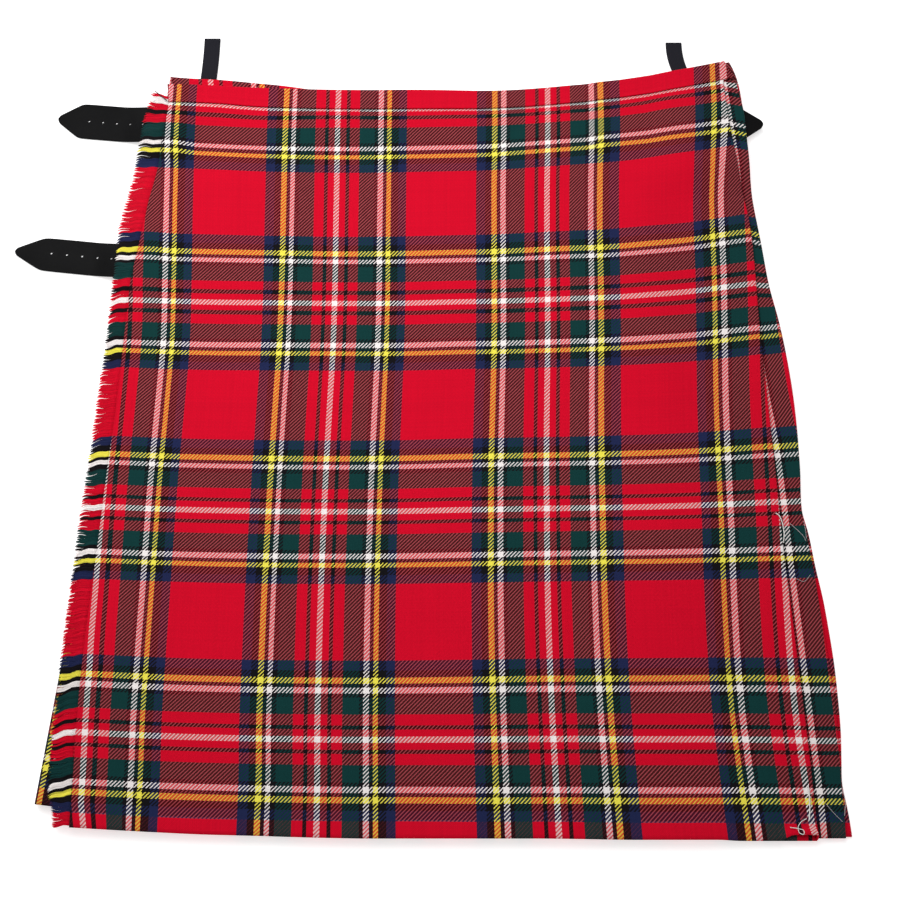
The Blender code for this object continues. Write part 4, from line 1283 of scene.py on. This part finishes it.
# --- buckles ---
def buckle(name, outer_x, centre_y, inward):
    """A rounded rectangle of wire, a prong curled round its bar and the leather tab behind."""
    wire, flat, corner = BUCKLE_WIRE / 2, BUCKLE_FLAT, BUCKLE_CORNER
    long_half = BUCKLE_LENGTH / 2 - wire
    wide_half = BUCKLE_WIDTH / 2 - wire
    middle = outer_x + inward * BUCKLE_LENGTH / 2
    z = BUCKLE_CENTRE
    turn = np.concatenate([np.radians(np.linspace(0, 90, 8) + 90 * k) for k in range(4)])
    side_x = np.repeat([1, -1, -1, 1], 8) * (long_half - corner)
    side_y = np.repeat([1, 1, -1, -1], 8) * (wide_half - corner)
    path = np.stack([middle + side_x + corner * np.cos(turn),
                     centre_y + side_y + corner * np.sin(turn), z + 0 * turn], -1)
    wire_frame = tube("frame_" + name, path, wire, NICKEL, 14, True, flat)

    def ribbon(label, x, z, across, material, thickness):
        """A strip along a section in x and z."""
        x, z = np.concatenate(x)[:, None], np.concatenate(z)[:, None]
        grid = np.stack(np.broadcast_arrays(x, centre_y + across, z), -1)
        return shell(label, grid, pair(across, x), material, thickness)

    bar, tip = middle + inward * long_half, middle - inward * long_half
    curl = wire + BAR_PLAY + PRONG_THICK / 2
    under = z - wire * flat - BAR_PLAY - PRONG_THICK / 2
    bend = np.radians(np.linspace(60, 300, 18))
    half = np.linspace(PRONG_WIDTH / 2 - 0.5, PRONG_WIDTH / 2, 30)[:, None]
    prong = ribbon("pin_" + name,
                   [np.linspace(tip - inward * 0.6, middle + inward * 4, 12),
                    bar - inward * curl * np.cos(bend)],
                   [np.full(12, under), z - curl * np.sin(bend)],
                   steps(7, -1, 1) * half, NICKEL, PRONG_THICK)

    curl = wire + BAR_PLAY + TAB_WALL / 2
    bend = np.radians(np.linspace(90, -90, 15))
    tab_x = [np.linspace(bar + inward * TAB_LENGTH, bar + inward * 0.5, 12),
             bar - inward * curl * np.cos(bend),
             np.linspace(bar + inward * 0.5, bar + inward * TAB_LENGTH / 2, 7)]
    tab_z = [np.full(12, z + curl), z + curl * np.sin(bend), np.full(7, z - curl)]
    inner, outer = PRONG_WIDTH / 2 + 1.0, TAB_WIDTH / 2
    halves = [ribbon("tab_" + name + ending, tab_x, tab_z, steps(9, *edges), LEATHER, TAB_WALL)
              for ending, edges in (("_low", (-outer, -inner)), ("_high", (inner, outer)))]
    return wire_frame, prong, halves


# --- put together ---
def declare(piece, slot, *nodes):
    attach(piece, "root")
    if nodes:
        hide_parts(*nodes)
    return piece


apron = declare(front_apron(), "red_tartan", "over_apron")
pleat = declare(pleat_layer(), "red_tartan", "apron_pleat")
hip = declare(hip_layer(), "red_tartan", "hip_fold")
back = declare(pleated_back(), "red_tartan", "back_pleats")
under = declare(under_panel(), "red_tartan", "under_apron")
band_front = declare(front_band(), "red_tartan", "over_apron_waistband")
band_under = declare(under_band(), "red_tartan", "under_apron_waistband")
band_back = declare(back_band(), "red_tartan", "back_waistband")
fringe = declare(fringe_yarns(), "fringe_wool", "apron_fringe")

for strap_name, node in (("waist_strap", "strap_waist"), ("hip_strap", "strap_hip")):
    strap = STRAPS[node]
    declare(leather_strap(strap_name, strap, lambda x: left_strap_height(strap, x), -1),
            "black_leather", node)
declare(leather_strap("inner_strap", SIDE_STRAP, side_strap_height, 1),
        "black_leather", "strap_under_apron")
for side_name, spot in TAPE_LOOPS.items():
    node = "hanger_loop_" + side_name
    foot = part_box(node)[1][2] / MM - 2 * TAPE_THICK - GAP - 0.5
    declare(tape_loop("tape_" + side_name, *spot, foot), "black_tape", node)
for side_name, spot in BUCKLES.items():
    wire_frame, prong, halves = buckle(side_name, *spot)
    declare(wire_frame, "nickel", "buckle_" + side_name)
    declare(prong, "nickel", "prong_" + side_name)
    for half_piece in halves:
        declare(half_piece, "black_leather", "buckle_tab_" + side_name)

threads = {"white": WHITE_THREAD, "grey": GREY_THREAD, "dark": DARK_THREAD}
for thread_name, colour, half, points in LOOSE_THREADS:
    declare(tube(thread_name, spline(points), half, threads[colour], 6), None)

# --- floor, light, camera ---
FLOOR = 4.0  # half the floor's width, in metres
WORLD_LIGHT = 0.29
TILT = math.radians(16.3)
LENS, SENSOR = 53.2, 36.0
CAMERA_Y, CAMERA_Z = -292.7, 1013.0  # in the kilt's layout, in millimetres

floor_mesh = bpy.data.meshes.new("floor")
floor_mesh.from_pydata([(-FLOOR, -FLOOR, 0), (FLOOR, -FLOOR, 0), (FLOOR, FLOOR, 0),
                        (-FLOOR, FLOOR, 0)], [], [[0, 1, 2, 3]])
floor_mesh.materials.append(floor_material())
floor = bpy.data.objects.new("floor", floor_mesh)
scene.collection.objects.link(floor)

world = bpy.data.worlds.new("studio")
world.use_nodes = True
background = world.node_tree.nodes["Background"].inputs
background["Color"].default_value = (1, 1, 1, 1)
background["Strength"].default_value = WORLD_LIGHT
scene.world = world


def soft_light(name, place, aim, size, power):
    """A square soft box that shines from place towards aim."""
    lamp = bpy.data.lights.new(name, "AREA")
    lamp.shape, lamp.size, lamp.energy = "SQUARE", size, power
    thing = bpy.data.objects.new(name, lamp)
    scene.collection.objects.link(thing)
    way = np.array(aim, float) - np.array(place, float)
    thing.location = place
    thing.rotation_euler = (math.acos(-way[2] / np.linalg.norm(way)), 0,
                            math.atan2(way[1], way[0]) - math.pi / 2)
    thing.visible_camera = False


soft_light("overhead_light", (-0.12, 0.25, 0.85), (-0.02, 0.08, 0), 0.75, 6.7)
soft_light("window_light", (-1.1, 1.2, 1.3), (0, 0, 0), 1.0, 7.9)

lens = bpy.data.cameras.new("camera")
lens.lens, lens.sensor_width = LENS, SENSOR
camera = bpy.data.objects.new("camera", lens)
scene.collection.objects.link(camera)
camera.location = (SHIFT + (0, CAMERA_Y, CAMERA_Z)) * MM
camera.rotation_euler = (TILT, 0, 0)
scene.camera = camera
scene.view_settings.view_transform = "Standard"
